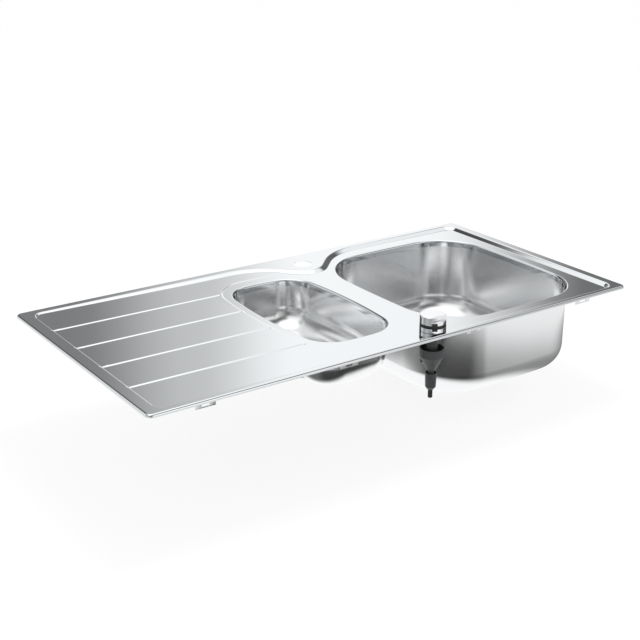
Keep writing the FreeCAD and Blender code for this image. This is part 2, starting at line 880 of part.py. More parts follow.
def make_knob_cap():
    """The cap, with a finger grip cut down its front by a wide round tool."""
    cap = knob_disc(ring_top, cap_top, knob_radius - knob_cap_inset)
    cap = round_edges(cap, knob_edge_radius, lambda edge: at_level(edge, cap_top, knob_gap))
    floor = ring_top + grip_floor_height
    tool = disc(knob_x + grip_reach + grip_radius, knob_y, floor, cap_top + overrun, grip_radius)
    tool = round_edges(tool, grip_floor_radius, lambda edge: at_level(edge, floor, knob_gap))
    tool.rotate(Vec(knob_x, knob_y, 0), Vec(0, 0, 1), grip_angle)
    bore = knob_disc(ring_top, ring_top + knob_cap_bore_depth, spindle_radius + press_clearance)
    return cap.cut(tool).cut(bore)


def make_spindle():
    shaft = knob_disc(sleeve_top - sleeve_cap, ring_top + knob_cap_bore_depth, spindle_radius)
    sleeve = knob_disc(sleeve_bottom, sleeve_top, sleeve_radius)
    bore = knob_disc(sleeve_bottom, sleeve_top - sleeve_cap, sleeve_bore_radius)
    return shaft.fuse(sleeve).cut(bore)


def make_shank():
    head = knob_disc(base_top - shank_head_height, base_top, shank_head_radius)
    shank = head.fuse(knob_disc(shank_bottom, base_top, shank_radius))
    return shank.cut(knob_disc(shank_bottom, base_top, spindle_radius + running_clearance))


def make_washer():
    return tube(knob_x, knob_y, deck_under - washer_thickness, deck_under, washer_radius,
                shank_radius + thread_clearance)


def make_nut():
    top = deck_under - washer_thickness
    bottom = top - nut_height
    radius = nut_across_flats / 2 / math.cos(math.pi / 6)
    centre = Vec(knob_x, knob_y, bottom)
    corners = [on_circle(centre, radius, index * math.pi / 3) for index in range(6)]
    nut = Part.Face(Part.makePolygon(corners + [corners[0]])).extrude(Vec(0, 0, nut_height))
    return nut.cut(knob_disc(bottom, top, shank_radius + thread_clearance))


def cone_radius(z):
    """Outer radius of the housing's cone at a level."""
    share = (cone_top - z) / housing_cone_height
    return housing_radius + (housing_cone_radius - housing_radius) * share


def housing_rib():
    """A thin rib that stands proud of the cone."""
    top = cone_top - housing_rib_drop
    bottom = top - housing_rib_height
    side_y = knob_y - housing_rib_width / 2
    root = sleeve_radius + housing_wall
    profile = [(root, top), (cone_radius(top) + housing_rib_proud, top),
               (cone_radius(bottom) + housing_rib_proud, bottom), (root, bottom)]
    points = [Vec(knob_x + radius, side_y, height) for radius, height in profile]
    rib = Part.Face(Part.makePolygon(points + [points[0]])).extrude(Vec(0, housing_rib_width, 0))
    rib.rotate(Vec(knob_x, knob_y, 0), Vec(0, 0, 1), housing_rib_angle)
    return rib


def make_housing():
    """The cup below the deck: an open top round the shank, a cone with two fins and a neck."""
    inner = housing_radius - housing_wall
    socket = shank_radius + thread_clearance
    socket_top = shank_bottom + housing_socket_depth
    chamber = sleeve_radius + sleeve_side_gap
    chamber_floor = sleeve_bottom - knob_gap
    profile = [
        (inner, housing_top), (housing_radius, housing_top), (housing_radius, cone_top),
        (housing_cone_radius, cone_bottom), (housing_neck_radius, cone_bottom), (housing_neck_radius, neck_bottom),
        (housing_neck_bore, neck_bottom), (housing_neck_bore, chamber_floor), (chamber, chamber_floor),
        (chamber, shank_bottom), (socket, shank_bottom), (socket, socket_top), (inner, socket_top),
    ]
    housing = turned(knob_x, knob_y, profile).fuse(housing_rib())
    fin_share = (housing_radius - housing_fin_radius) / (housing_radius - housing_cone_radius)
    fin_top = cone_top - housing_cone_height * fin_share
    for index in range(housing_fin_count):
        angle = housing_fin_angle + 360 * index / housing_fin_count
        housing = housing.fuse(knob_block(sleeve_radius + housing_wall, housing_fin_radius, housing_fin_width,
                                          fin_top - housing_fin_height, fin_top, angle))
    return housing


def make_coupler():
    """The lower housing that clips on the neck and guides the cable's carrier."""
    socket = housing_neck_radius + press_clearance
    mouth_floor = coupler_top - coupler_mouth_depth
    bore = carrier_radius + running_clearance
    tip_bore = gland_spigot_radius + press_clearance
    tip_floor = coupler_end + gland_spigot_length
    profile = [
        (coupler_mouth_radius, coupler_top), (coupler_radius, coupler_top), (coupler_foot_radius, coupler_foot),
        (coupler_tip_radius, coupler_end), (tip_bore, coupler_end), (tip_bore, tip_floor),
        (cable_bore_radius, tip_floor), (cable_bore_radius, coupler_foot), (bore, coupler_foot),
        (bore, neck_bottom), (socket, neck_bottom), (socket, mouth_floor), (coupler_mouth_radius, mouth_floor),
    ]
    return turned(knob_x, knob_y, profile)


def make_gland():
    end = coupler_end - gland_length
    spigot_top = coupler_end + gland_spigot_length
    profile = [
        (cable_bore_radius, end), (gland_radius - gland_chamfer, end), (gland_radius, end + gland_chamfer),
        (gland_radius, coupler_end), (gland_spigot_radius, coupler_end), (gland_spigot_radius, spigot_top),
        (cable_bore_radius, spigot_top),
    ]
    return turned(knob_x, knob_y, profile)


def make_carrier():
    """The rod that the sleeve lifts, with a head inside the sleeve."""
    top = sleeve_bottom + carrier_engaged
    head = knob_disc(sleeve_bottom, top, spindle_radius)
    return head.fuse(knob_disc(top - carrier_length, sleeve_bottom, carrier_radius))


# Shapes that both wastes share

def strainer_flange(x, y, rim_under, rim_radius, thickness, cup, cone, drain, screw_radius):
    """The steel cup that hangs through the waste hole on its flat rim, with drain holes in its bottom."""
    cup_radius, cup_depth = cup
    cone_height, cone_run = cone
    hole_radius, hole_circle = drain
    top = rim_under + thickness
    bottom = rim_under - cup_depth
    inner = cup_radius - thickness
    profile = [
        (rim_radius, rim_under), (rim_radius, top), (inner + cone_run, top), (inner, top - cone_height),
        (inner, bottom + thickness), (0, bottom + thickness), (0, bottom), (cup_radius, bottom),
        (cup_radius, rim_under - cone_height), (cup_radius + cone_run, rim_under),
    ]
    flange = turned(x, y, profile)
    holes = ring_of(disc(x + hole_circle, y, bottom, bottom + thickness, hole_radius), drain_hole_count, x, y)
    holes.append(disc(x, y, bottom, bottom + thickness, screw_radius + press_clearance))
    return flange.cut(Part.makeCompound(holes))


def waste_pot(x, y, top, flange, pot_radius, wall, pot_bottom, pot_floor, outlet_length):
    """The moulded body below the bowl: a flange, a pot and the outlet's tube."""
    flange_radius, flange_height = flange
    inner = pot_radius - wall
    outlet_end = pot_bottom - outlet_length
    profile = [
        (inner, top), (flange_radius, top), (flange_radius, top - flange_height), (pot_radius, top - flange_height),
        (pot_radius, pot_bottom), (outlet_radius, pot_bottom), (outlet_radius, outlet_end),
        (outlet_bore_radius, outlet_end), (outlet_bore_radius, pot_bottom + pot_floor),
        (inner, pot_bottom + pot_floor),
    ]
    return turned(x, y, profile)


def boss_with_ribs(x, y, top, radius, height, rib_height, reach):
    """The screw's boss, held in the middle of the pot by ribs."""
    bottom = top - height
    shape = disc(x, y, bottom, top, radius)
    rib = block(x, x + reach, y - rib_thickness / 2, y + rib_thickness / 2, bottom, bottom + rib_height)
    for copy in ring_of(rib, rib_count, x, y):
        shape = shape.fuse(copy)
    return shape


def clamp_screw(x, y, head_top, head_radius, radius, bottom):
    head = disc(x, y, head_top - screw_head_height, head_top, head_radius)
    return head.fuse(disc(x, y, bottom, head_top, radius))


def strainer_basket(x, y, rim, rim_radius, radius, thickness, depth, boss, slots, hole_rings):
    """A pressed basket: a rim, slots round the wall, a boss and rings of holes in the bottom."""
    boss_radius, boss_bottom = boss
    slot_count, slot_height, slot_foot = slots
    bottom = rim - depth
    inner = radius - thickness
    profile = [
        (rim_radius, rim - thickness), (rim_radius, rim), (inner, rim), (inner, bottom + thickness),
        (0, bottom + thickness), (0, boss_bottom), (boss_radius, boss_bottom), (boss_radius, bottom),
        (radius, bottom), (radius, rim - thickness),
    ]
    basket = turned(x, y, profile)
    slot_bottom = bottom + thickness + slot_foot
    slot = block(x + inner - thickness, x + radius + thickness, y - basket_slot_width / 2,
                 y + basket_slot_width / 2, slot_bottom, slot_bottom + slot_height)
    tools = ring_of(slot, slot_count, x, y)
    for index in range(hole_rings):
        circle = boss_radius + (index + 1) * basket_hole_step
        hole = disc(x + circle, y, bottom, bottom + thickness, basket_hole_radius)
        count = int(math.pi * circle / basket_hole_step) * 2
        tools += ring_of(hole, count, x, y)
    return basket.cut(Part.makeCompound(tools))


def basket_grip(x, y, foot, height, cap_radius):
    top = foot + height
    profile = [
        (0, foot), (basket_grip_radius, foot), (basket_grip_radius, top - basket_grip_cap_height),
        (cap_radius, top - basket_grip_cap_height), (cap_radius, top - basket_grip_edge),
        (cap_radius - basket_grip_edge, top), (0, top),
    ]
    return turned(x, y, profile)


def basket_seal(x, y, top, height, radius, cup_inner, rim_top_level, cone):
    """A lip ring under the basket's rim, just clear of the cup's cone."""
    cone_height, cone_run = cone
    bottom = top - height
    cone_foot = rim_top_level - cone_height
    low = max(cone_foot, bottom)
    top_radius = cup_inner + cone_run * (top - cone_foot) / cone_height - seat_gap
    low_radius = cup_inner + cone_run * (low - cone_foot) / cone_height - seat_gap
    inner = radius + press_clearance
    profile = [(inner, bottom), (low_radius, bottom), (low_radius, low), (top_radius, top), (inner, top)]
    if low == bottom:
        profile.remove((low_radius, low))
    return turned(x, y, profile)


# The main bowl's waste

def make_main_flange():
    return strainer_flange(main_x, main_y, main_rim_under, main_flange_radius, main_flange_sheet,
                           (main_cup_radius, main_cup_depth), (main_cup_cone_height, main_cup_cone_run),
                           (main_drain_hole_radius, main_drain_hole_circle), main_screw_radius)


def make_main_top_seal():
    return tube(main_x, main_y, main_floor - main_seat_depth, main_rim_under,
                main_flange_radius - main_seal_clearance, main_waste_hole_radius)


def make_main_bottom_seal():
    return tube(main_x, main_y, main_body_top, main_body_top + main_bottom_seal_thickness,
                main_body_flange_radius, main_waste_hole_radius + main_seal_clearance)


def lever_rod(x, z, radius, half_width):
    """A cylinder across the waste, parallel to the lever's pin."""
    return Part.makeCylinder(radius, 2 * half_width, Vec(x, main_y - half_width, z), Vec(0, 1, 0))


def lever_lugs():
    """Two lugs that carry the lever's pin, from the pot's wall and floor."""
    near = lever_width / 2 + knob_gap
    far_x = main_x - main_pot_radius + main_pot_wall / 2
    bottom = main_pot_bottom + main_pot_floor
    lugs = []
    for low_y in (main_y + near, main_y - near - lever_lug_thickness):
        lugs.append(block(far_x, lever_x + lever_hub_radius, low_y, low_y + lever_lug_thickness,
                          bottom, lever_z + lever_hub_radius))
    return lugs


def overflow_spigot(radius, near, far):
    """A round tool for the spigot that takes the overflow's hose."""
    start = Vec(main_x + near, main_y, main_floor - overflow_spigot_depth)
    rod = Part.makeCylinder(radius, far - near, start, Vec(1, 0, 0))
    rod.rotate(Vec(main_x, main_y, 0), Vec(0, 0, 1), overflow_spigot_angle)
    return rod


def waste_gland_rod(near, far, radius):
    """A cylinder out through the pot's left wall, level with the lever's tail."""
    start = Vec(main_x - near, main_y, lever_z + lever_tail)
    return Part.makeCylinder(radius, far - near, start, Vec(-1, 0, 0))


def make_main_body():
    inner = main_pot_radius - main_pot_wall
    middle = main_pot_radius - main_pot_wall / 2
    body = waste_pot(main_x, main_y, main_body_top, (main_body_flange_radius, main_body_flange_height),
                     main_pot_radius, main_pot_wall, main_pot_bottom, main_pot_floor, main_outlet_length)
    body = body.fuse(boss_with_ribs(main_x, main_y, main_cup_bottom, main_boss_radius, main_boss_height,
                                    main_rib_height, middle))
    for lug in lever_lugs():
        body = body.fuse(lug)
    body = body.fuse(overflow_spigot(overflow_spigot_radius, middle, overflow_spigot_reach))
    body = body.fuse(overflow_spigot(spigot_collar_radius, middle, main_pot_radius + spigot_collar_height))
    body = body.cut(overflow_spigot(overflow_spigot_bore, inner - overrun, overflow_spigot_reach))
    body = body.cut(waste_gland_rod(inner - main_pot_wall, main_pot_radius, waste_gland_spigot_radius))
    body = body.cut(lever_rod(lever_x, lever_z, lever_pin_radius + press_clearance, main_pot_radius / 2))
    return body.cut(disc(main_x, main_y, main_cup_bottom - main_boss_height, main_cup_bottom,
                         main_screw_radius + press_clearance))


def make_main_screw():
    screw = clamp_screw(main_x, main_y, main_screw_top, main_screw_head_radius, main_screw_radius,
                        main_cup_bottom - main_boss_height)
    return screw.cut(disc(main_x, main_y, main_cup_bottom - main_boss_height, main_screw_top,
                          lift_pin_radius + running_clearance))


def make_lift_pin():
    """A pin whose round foot stands over the lever's sloping arm."""
    swing = math.radians(lever_swing)
    arm_top = lever_z - lever_arm * math.tan(swing) + lever_thickness / 2 / math.cos(swing)
    centre_z = arm_top + (lift_pin_radius + knob_gap) / math.cos(swing)
    pin = disc(main_x, main_y, centre_z, main_screw_top + lift_pin_proud, lift_pin_radius)
    return pin.fuse(Part.makeSphere(lift_pin_radius, Vec(main_x, main_y, centre_z)))


def make_lever():
    """An elbow lever: a level arm under the pin and a tail for the cable, set to the basket's lowest place."""
    half_width = lever_width / 2
    half_thickness = lever_thickness / 2
    low_y = main_y - half_width
    high_y = main_y + half_width
    tail_z = lever_z + lever_tail
    lever = lever_rod(lever_x, lever_z, lever_hub_radius, half_width)
    lever = lever.fuse(block(lever_x, main_x, low_y, high_y, lever_z - half_thickness, lever_z + half_thickness))
    lever = lever.fuse(lever_rod(main_x, lever_z, half_thickness, half_width))
    lever = lever.fuse(block(lever_x - half_thickness, lever_x + half_thickness, low_y, high_y, lever_z, tail_z))
    lever = lever.fuse(lever_rod(lever_x, tail_z, lever_tail_radius, half_width))
    lever = lever.cut(lever_rod(lever_x, lever_z, lever_pin_radius + running_clearance, half_width))
    lever = lever.cut(lever_rod(lever_x, tail_z, cable_hook_radius, half_width))
    lever.rotate(Vec(lever_x, main_y, lever_z), Vec(0, 1, 0), lever_swing)
    return lever


def make_lever_pin():
    return lever_rod(lever_x, lever_z, lever_pin_radius, lever_width / 2 + knob_gap + lever_lug_thickness)


def make_waste_gland():
    """The gland in the pot's wall: a narrow bore for the cable with a wider seat behind it."""
    spigot_end = main_pot_radius - waste_gland_spigot_length
    seat_end = main_pot_radius + waste_gland_seat_depth
    gland_end = main_pot_radius + waste_gland_length
    gland = waste_gland_rod(main_pot_radius, gland_end, waste_gland_radius)
    gland = gland.fuse(waste_gland_rod(spigot_end, main_pot_radius, waste_gland_spigot_radius - press_clearance))
    gland = gland.cut(waste_gland_rod(spigot_end, seat_end, waste_gland_seat_radius))
    return gland.cut(waste_gland_rod(seat_end, gland_end, cable_bore_radius))


def make_main_basket():
    return strainer_basket(main_x, main_y, main_basket_rim, main_basket_rim_radius, main_basket_radius,
                           main_basket_sheet, main_basket_depth,
                           (main_basket_boss_radius, main_screw_top + lift_pin_proud),
                           (main_basket_slot_count, basket_slot_height, basket_slot_foot), main_basket_hole_rings)


def make_main_basket_seal():
    return basket_seal(main_x, main_y, main_basket_rim - main_basket_sheet, main_basket_seal_height,
                       main_basket_radius, main_cup_radius - main_flange_sheet, main_rim_top,
                       (main_cup_cone_height, main_cup_cone_run))


def make_main_grip():
    foot = main_basket_rim - main_basket_depth + main_basket_sheet
    return basket_grip(main_x, main_y, foot, main_basket_grip_height, main_basket_grip_cap_radius)


# The half bowl's waste

def make_half_flange():
    return strainer_flange(half_x, half_y, half_rim_under, half_flange_radius, half_flange_sheet,
                           (half_cup_radius, half_cup_depth), (half_cup_cone_height, half_cup_cone_run),
                           (half_drain_hole_radius, half_drain_hole_circle), half_screw_radius)


def make_half_top_seal():
    return tube(half_x, half_y, half_floor - half_seat_depth, half_rim_under,
                half_flange_radius - half_seal_clearance, half_waste_hole_radius)


def make_half_bottom_seal():
    return tube(half_x, half_y, half_body_top, half_body_top + half_bottom_seal_thickness,
                half_body_flange_radius, half_waste_hole_radius + half_seal_clearance)


def make_half_body():
    body = waste_pot(half_x, half_y, half_body_top, (half_body_flange_radius, half_body_flange_height),
                     half_pot_radius, half_pot_wall, half_pot_bottom, half_pot_floor, half_outlet_length)
    middle = half_pot_radius - half_pot_wall / 2
    body = body.fuse(boss_with_ribs(half_x, half_y, half_cup_bottom, half_boss_radius, half_boss_height,
                                    half_rib_height, middle))
    return body.cut(disc(half_x, half_y, half_cup_bottom - half_boss_height, half_cup_bottom,
                         half_screw_radius + press_clearance))


def make_half_screw():
    return clamp_screw(half_x, half_y, half_screw_top, half_screw_head_radius, half_screw_radius,
                       half_cup_bottom - half_boss_height)


def make_half_basket():
    return strainer_basket(half_x, half_y, half_basket_rim, half_basket_rim_radius, half_basket_radius,
                           half_basket_sheet, half_basket_depth,
                           (half_basket_boss_radius, half_screw_top + seat_gap),
                           (half_basket_slot_count, half_basket_slot_height, half_basket_slot_foot),
                           half_basket_hole_rings)


def make_half_basket_seal():
    return basket_seal(half_x, half_y, half_basket_rim - half_basket_sheet, half_basket_seal_height,
                       half_basket_radius, half_cup_radius - half_flange_sheet, half_rim_top,
                       (half_cup_cone_height, half_cup_cone_run))


def make_half_grip():
    foot = half_basket_rim - half_basket_depth + half_basket_sheet
    return basket_grip(half_x, half_y, foot, half_basket_grip_height, half_basket_grip_cap_radius)


# The overflow

def make_rosette():
    back = wall_x + seat_gap
    rosette = overflow_rod(back, rosette_face, rosette_radius)
    rim = [edge for edge in rosette.Edges if abs(edge.BoundBox.XMin - rosette_face) < seat_gap]
    rosette = rosette.makeFillet(rosette_edge_radius, rim)
    rosette = rosette.cut(overflow_rod(back, rosette_face, overflow_screw_radius + press_clearance))
    for index in range(rosette_hole_count):
        angle = 2 * math.pi * index / rosette_hole_count
        centre = Vec(back, main_y + rosette_hole_circle * math.cos(angle),
                     overflow_z + rosette_hole_circle * math.sin(angle))
        rosette = rosette.cut(Part.makeCylinder(rosette_hole_radius, rosette_thickness, centre, Vec(1, 0, 0)))
    return rosette


def make_overflow_gasket():
    outer = overflow_rod(elbow_face, elbow_face + overflow_gasket_thickness, overflow_gasket_radius)
    return outer.cut(overflow_rod(elbow_face, elbow_face + overflow_gasket_thickness,
                                  overflow_hole_radius + overflow_gasket_clearance))


def make_elbow():
    """The moulded elbow behind the wall, with a spigot down for the hose."""
    flange_back = elbow_face - elbow_flange_thickness
    back = flange_back - elbow_depth
    middle_x = back + elbow_depth / 2
    spigot_top = overflow_z - elbow_radius / 2
    collar_top = overflow_z - overflow_gasket_radius - elbow_collar_gap
    collar_bottom = collar_top - spigot_collar_height
    spigot_bottom = collar_bottom - elbow_spigot_length
    elbow = overflow_rod(flange_back, elbow_face, overflow_gasket_radius)
    elbow = elbow.fuse(overflow_rod(back, flange_back, elbow_radius))
    elbow = elbow.fuse(disc(middle_x, main_y, spigot_bottom, spigot_top, elbow_spigot_radius))
    elbow = elbow.fuse(disc(middle_x, main_y, collar_bottom, collar_top, spigot_collar_radius))
    elbow = elbow.cut(overflow_rod(back + elbow_wall, elbow_face, elbow_radius - elbow_wall))
    elbow = elbow.cut(disc(middle_x, main_y, spigot_bottom, spigot_top, elbow_spigot_bore))
    elbow = elbow.fuse(overflow_rod(back, flange_back, elbow_boss_radius))
    screw_end = rosette_face - overflow_screw_length
    return elbow.cut(overflow_rod(screw_end, flange_back, overflow_screw_radius + press_clearance))


def make_overflow_screw():
    shank = overflow_rod(rosette_face - overflow_screw_length, rosette_face, overflow_screw_radius)
    return shank.fuse(overflow_rod(rosette_face, rosette_face + overflow_screw_head_height,
                                   overflow_screw_head_radius))


# Each piece goes to its own file

pieces = {
    "deck": make_deck,
    "main_bowl": make_main_bowl,
    "half_bowl": make_half_bowl,
    "main_sound_pad": make_main_pad,
    "half_sound_pads": make_half_pads,
    "front_clip_brackets": make_front_brackets,
    "rear_clip_brackets": make_rear_brackets,
    "rim_seal": make_rim_seal,
    "knob_gasket": make_knob_gasket,
    "knob_base": make_knob_base,
    "knob_index_ring": make_knob_ring,
    "control_knob": make_knob_cap,
    "knob_spindle": make_spindle,
    "threaded_shank": make_shank,
    "fixing_washer": make_washer,
    "fixing_nut": make_nut,
    "actuator_housing": make_housing,
    "cable_coupler": make_coupler,
    "cable_gland": make_gland,
    "cable_carrier": make_carrier,
    "main_waste_flange": make_main_flange,
    "main_top_seal": make_main_top_seal,
    "main_bottom_seal": make_main_bottom_seal,
    "main_waste_body": make_main_body,
    "main_clamp_screw": make_main_screw,
    "lift_pin": make_lift_pin,
    "lift_lever": make_lever,
    "lever_pin": make_lever_pin,
    "waste_cable_gland": make_waste_gland,
    "main_basket": make_main_basket,
    "main_basket_seal": make_main_basket_seal,
    "main_basket_grip": make_main_grip,
    "half_waste_flange": make_half_flange,
    "half_top_seal": make_half_top_seal,
    "half_bottom_seal": make_half_bottom_seal,
    "half_waste_body": make_half_body,
    "half_clamp_screw": make_half_screw,
    "half_basket": make_half_basket,
    "half_basket_seal": make_half_basket_seal,
    "half_basket_grip": make_half_grip,
    "overflow_rosette": make_rosette,
    "overflow_screw": make_overflow_screw,
    "overflow_gasket": make_overflow_gasket,
    "overflow_elbow": make_elbow,
}

os.makedirs("parts", exist_ok=True)
for node, make in pieces.items():
    make().exportStep("parts/" + node + ".step")
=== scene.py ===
import json
import math

import bmesh
import bpy
import numpy as np
from mathutils import Matrix, Vector
from mathutils.geometry import delaunay_2d_cdt


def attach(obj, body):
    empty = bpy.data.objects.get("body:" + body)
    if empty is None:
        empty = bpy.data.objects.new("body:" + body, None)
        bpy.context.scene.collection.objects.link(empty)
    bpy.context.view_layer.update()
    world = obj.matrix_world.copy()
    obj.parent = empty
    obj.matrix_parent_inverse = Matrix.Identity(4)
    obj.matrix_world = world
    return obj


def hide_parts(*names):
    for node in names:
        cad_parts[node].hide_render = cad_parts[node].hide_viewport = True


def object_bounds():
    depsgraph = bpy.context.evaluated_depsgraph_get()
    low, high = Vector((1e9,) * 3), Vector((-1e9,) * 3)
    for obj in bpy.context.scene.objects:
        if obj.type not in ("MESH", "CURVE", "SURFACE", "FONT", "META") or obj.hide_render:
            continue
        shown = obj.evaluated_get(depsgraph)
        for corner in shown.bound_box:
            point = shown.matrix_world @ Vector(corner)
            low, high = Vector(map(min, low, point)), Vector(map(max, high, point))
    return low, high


# An inset steel sink with a drainer, a half bowl and a main bowl. Sizes are in millimetres and are turned
# to metres where a mesh is made. The deck, the bowls, the brackets and the mouldings under the knob are
# built here with their true curves; every other piece keeps its solid and gets its material.

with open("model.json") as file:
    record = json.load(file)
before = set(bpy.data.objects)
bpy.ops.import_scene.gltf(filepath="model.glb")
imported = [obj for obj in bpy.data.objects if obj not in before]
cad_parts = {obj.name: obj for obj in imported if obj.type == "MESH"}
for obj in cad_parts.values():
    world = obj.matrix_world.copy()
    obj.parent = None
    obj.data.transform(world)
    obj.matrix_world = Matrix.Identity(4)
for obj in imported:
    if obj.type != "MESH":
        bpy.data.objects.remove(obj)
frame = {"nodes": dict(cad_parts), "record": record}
cad_low, cad_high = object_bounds()
MM = 0.001
QUARTER = math.pi / 2

# The steel sheet and the levels of the deck, whose outer edge rolls down to level 0
SHEET = 0.8
RIM_TOP = 5.5
RIM_HALF = (496.0, 246.0)
RIM_CORNER = 6.0
ROLL_OUT = 4.0
DECK_TOP = 0.5
LIP_RADIUS = 4.0
LIP_BOTTOM = -12.0

# The sunk deck inside the rim: its outline at the top of the slope, and the slope's width in plan
RECESS_X = 480.0
RECESS_BACK = 232.0
RECESS_FRONT = -238.0
RECESS_CORNER = 22.0
SLOPE_RUN = 10.0
FRONT_SLOPE_RUN = 7.0

# The slope's section: half its width, its steepness, and how far its bends are rounded. It is steeper at
# the front and at the left end, by an amount, from a place on, over a length.
SLOPE_HALF_RUN = 5.0
SLOPE_RATE = 2.5
SLOPE_ROUNDING = 0.52
FOOT_ROUNDING = 0.35
STEEPER_FRONT = (1.5, -216.0, 12.0)
STEEPER_LEFT = (3.0, -462.0, 15.0)

# The drainer falls from left to right, down to the terrace round the bowls
DRAINER_LEFT = 2.0
DRAINER_RIGHT = 4.2
TERRACE_X = -160.0
TERRACE_RADIUS = 1000.0
TERRACE_CORNER = 74.0
TERRACE_BACK = 182.5
TERRACE_BLEND = 1.8
PAST_RECESS = (505.0, 255.0)

# The drainer's grooves: each one's place and its right end
GROOVES = {-141.0: -155.7, -47.0: -164.1, 47.0: -163.65, 141.0: -150.5}
GROOVE_START = -477.0
GROOVE_DEPTH = 1.4
GROOVE_REACH = 3.3
GROOVE_FADE = 9.0

# The tap hole, with the ledge's tip and sweep round it, and the knob
TAP = (70.0, 195.0)
TAP_HOLE = 17.5
TAP_TIP = 39.0
TAP_SWEEP = 134.0
KNOB = (64.5, -208.5)
KNOB_HOLE = 11.0

# The bowls: the seat holds its top radius, its foot radius, its depth and the hole's radius
MAIN = {"x": 269.0, "y": -7.0, "length": 355.0, "width": 397.0, "side": 2500.0, "end": 2000.0,
        "corners": (93.0, 98.0, 115.0, 112.0), "floor": -159.5, "fillet": 45.0,
        "seat": (60.0, 57.0, 4.0, 46.0)}
HALF = {"x": -54.5, "y": -5.0, "length": 175.0, "width": 321.0, "side": 1000.0, "end": 400.0,
        "corners": (55.0, 55.0, 55.0, 55.0), "floor": -93.5, "fillet": 43.0,
        "seat": (39.0, 37.0, 3.0, 26.0)}
SEAT_EASE = (2.0, 1.0)
FLOOR_SHARES = (0.35, 0.7)
FLOOR_MARGIN = 3.0

# The mouldings under the knob: radius and height of each corner of their profiles, then the blocks on the
# housing as near, far at the foot, far at the top, half width, foot, top
HOUSING_PROFILE = ((19.6, -32.5), (21.6, -32.5), (21.6, -47.5), (8.0, -74.3), (5.0, -74.3), (5.0, -88.0),
                   (3.4, -88.0), (3.4, -71.1), (8.5, -71.1), (8.5, -50.3), (10.1, -50.3), (10.1, -44.3),
                   (19.6, -44.3))
COUPLER_PROFILE = ((8.9, -79.4), (10.3, -79.4), (9.4, -105.8), (5.2, -111.4), (3.05, -111.4),
                   (3.05, -107.4), (2.2, -107.4), (2.2, -105.8), (3.06, -105.8), (3.06, -88.0),
                   (5.05, -88.0), (5.05, -82.9), (8.9, -82.9))
GLAND_PROFILE = ((2.2, -126.8), (3.3, -126.8), (4.1, -126.0), (4.1, -111.4), (3.0, -111.4), (3.0, -107.4),
                 (2.2, -107.4))
FIN = (10.0, 19.4, 19.4, 3.0, -60.4, -51.7)
FIN_ANGLES = (142.0, 322.0)
RIB = (10.0, 13.5, 19.3, 0.8, -65.0, -53.5)
RIB_ANGLE = -126.0
TURNED_SEGMENTS = 96

# The brackets: x and top level of each one, then the sizes that they share
FRONT_BRACKETS = ((-398.0, 2.06), (-132.7, -0.3), (132.7, -0.3), (398.0, -0.3))
REAR_BRACKETS = ((-398.0, 2.06), (-132.7, 0.5), (272.7, -0.3), (398.0, -0.3))
BRACKET_FACE = -238.0
BRACKET_END = -216.0
BRACKET_BEND = 1.8
BRACKET_SHEET = 1.0
BRACKET_LEVELS = (-12.0, -10.0, -6.0)
BRACKET_COLUMNS = (-17.5, -7.0, 7.0, 17.5)
WINDOW_CELL = (1, 1)

# The points of the pressed meshes: their spacing along the outlines, the reach and step of the rows that
# follow each feature of the deck, the coarse grid between them, and the cell that keeps one point
LINE_STEP = 4.0
TERRACE_STEP = 6.0
SLOPE_ROWS = (9.0, 1.0)
TERRACE_ROWS = (3.5, 1.0)
GROOVE_ROWS = (4.2, 0.7)
GROOVE_CLEAR = 4.6
GROOVE_STEPS = (1.2, 8.0, 0.8)
TAP_ROWS = (0.6, 1.6, 4)
TAP_COUNT = 72
KNOB_COUNT = 36
GRID_PITCH = 14.0
GRID_REACH = (490, 240)
POINT_CELL = 0.55
TINY = 1e-6


# Outlines

class Outline:
    """A closed outline, counter-clockwise, of lines and arcs that meet smoothly."""

    def __init__(self, pieces):
        self.pieces = pieces

    def points(self, step, offset=0.0):
        """Points along the outline and their outward directions, pushed out by an offset."""
        places, outward = [], []
        for piece in self.pieces:
            if piece[0] == "line":
                start, end = np.array(piece[1]), np.array(piece[2])
                length = np.linalg.norm(end - start)
                count = max(1, round(length / step))
                share = np.arange(count) / count
                along = (end - start) / length
                normal = np.tile((along[1], -along[0]), (count, 1))
                place = start + share[:, None] * (end - start) + offset * normal
            else:
                centre, radius, first, last = piece[1:]
                sign = 1.0 if last > first else -1.0
                count = max(3, round(radius * abs(last - first) / step))
                angle = first + (last - first) * np.arange(count) / count
                ray = np.stack([np.cos(angle), np.sin(angle)], 1)
                place = np.array(centre) + (radius + sign * offset) * ray
                normal = sign * ray
            places.append(place)
            outward.append(normal)
        return np.concatenate(places), np.concatenate(outward)

    def distance(self, xy):
        """Signed distance of each point, positive outside."""
        best = np.full(len(xy), np.inf)
        signed = np.full(len(xy), np.inf)
        for piece in self.pieces:
            if piece[0] == "line":
                start, end = np.array(piece[1]), np.array(piece[2])
                length = np.linalg.norm(end - start)
                along = (end - start) / length
                normal = np.array((along[1], -along[0]))
                from_start = xy - start
                share = np.clip(from_start @ along, 0, length)
                away = np.linalg.norm(from_start - share[:, None] * along, axis=1)
                side = np.sign(from_start @ normal)
                away = np.where(side == 0, away + TINY, away)
            else:
                centre, radius, first, last = piece[1:]
                sign = 1.0 if last > first else -1.0
                from_centre = xy - np.array(centre)
                reach = np.linalg.norm(from_centre, axis=1)
                angle = np.arctan2(from_centre[:, 1], from_centre[:, 0])
                turn = np.abs((angle - (first + last) / 2 + math.pi) % (2 * math.pi) - math.pi)
                on_arc = turn <= abs(last - first) / 2 + TINY
                away = np.where(on_arc, np.abs(reach - radius), np.inf)
                side = np.sign(reach - radius) * sign
            closer = away < best
            best = np.where(closer, away, best)
            signed = np.where(closer, side * away, signed)
        return signed


def arc_place(arc, angle):
    centre, radius = arc[:2]
    return np.array(centre) + radius * np.array((math.cos(angle), math.sin(angle)))


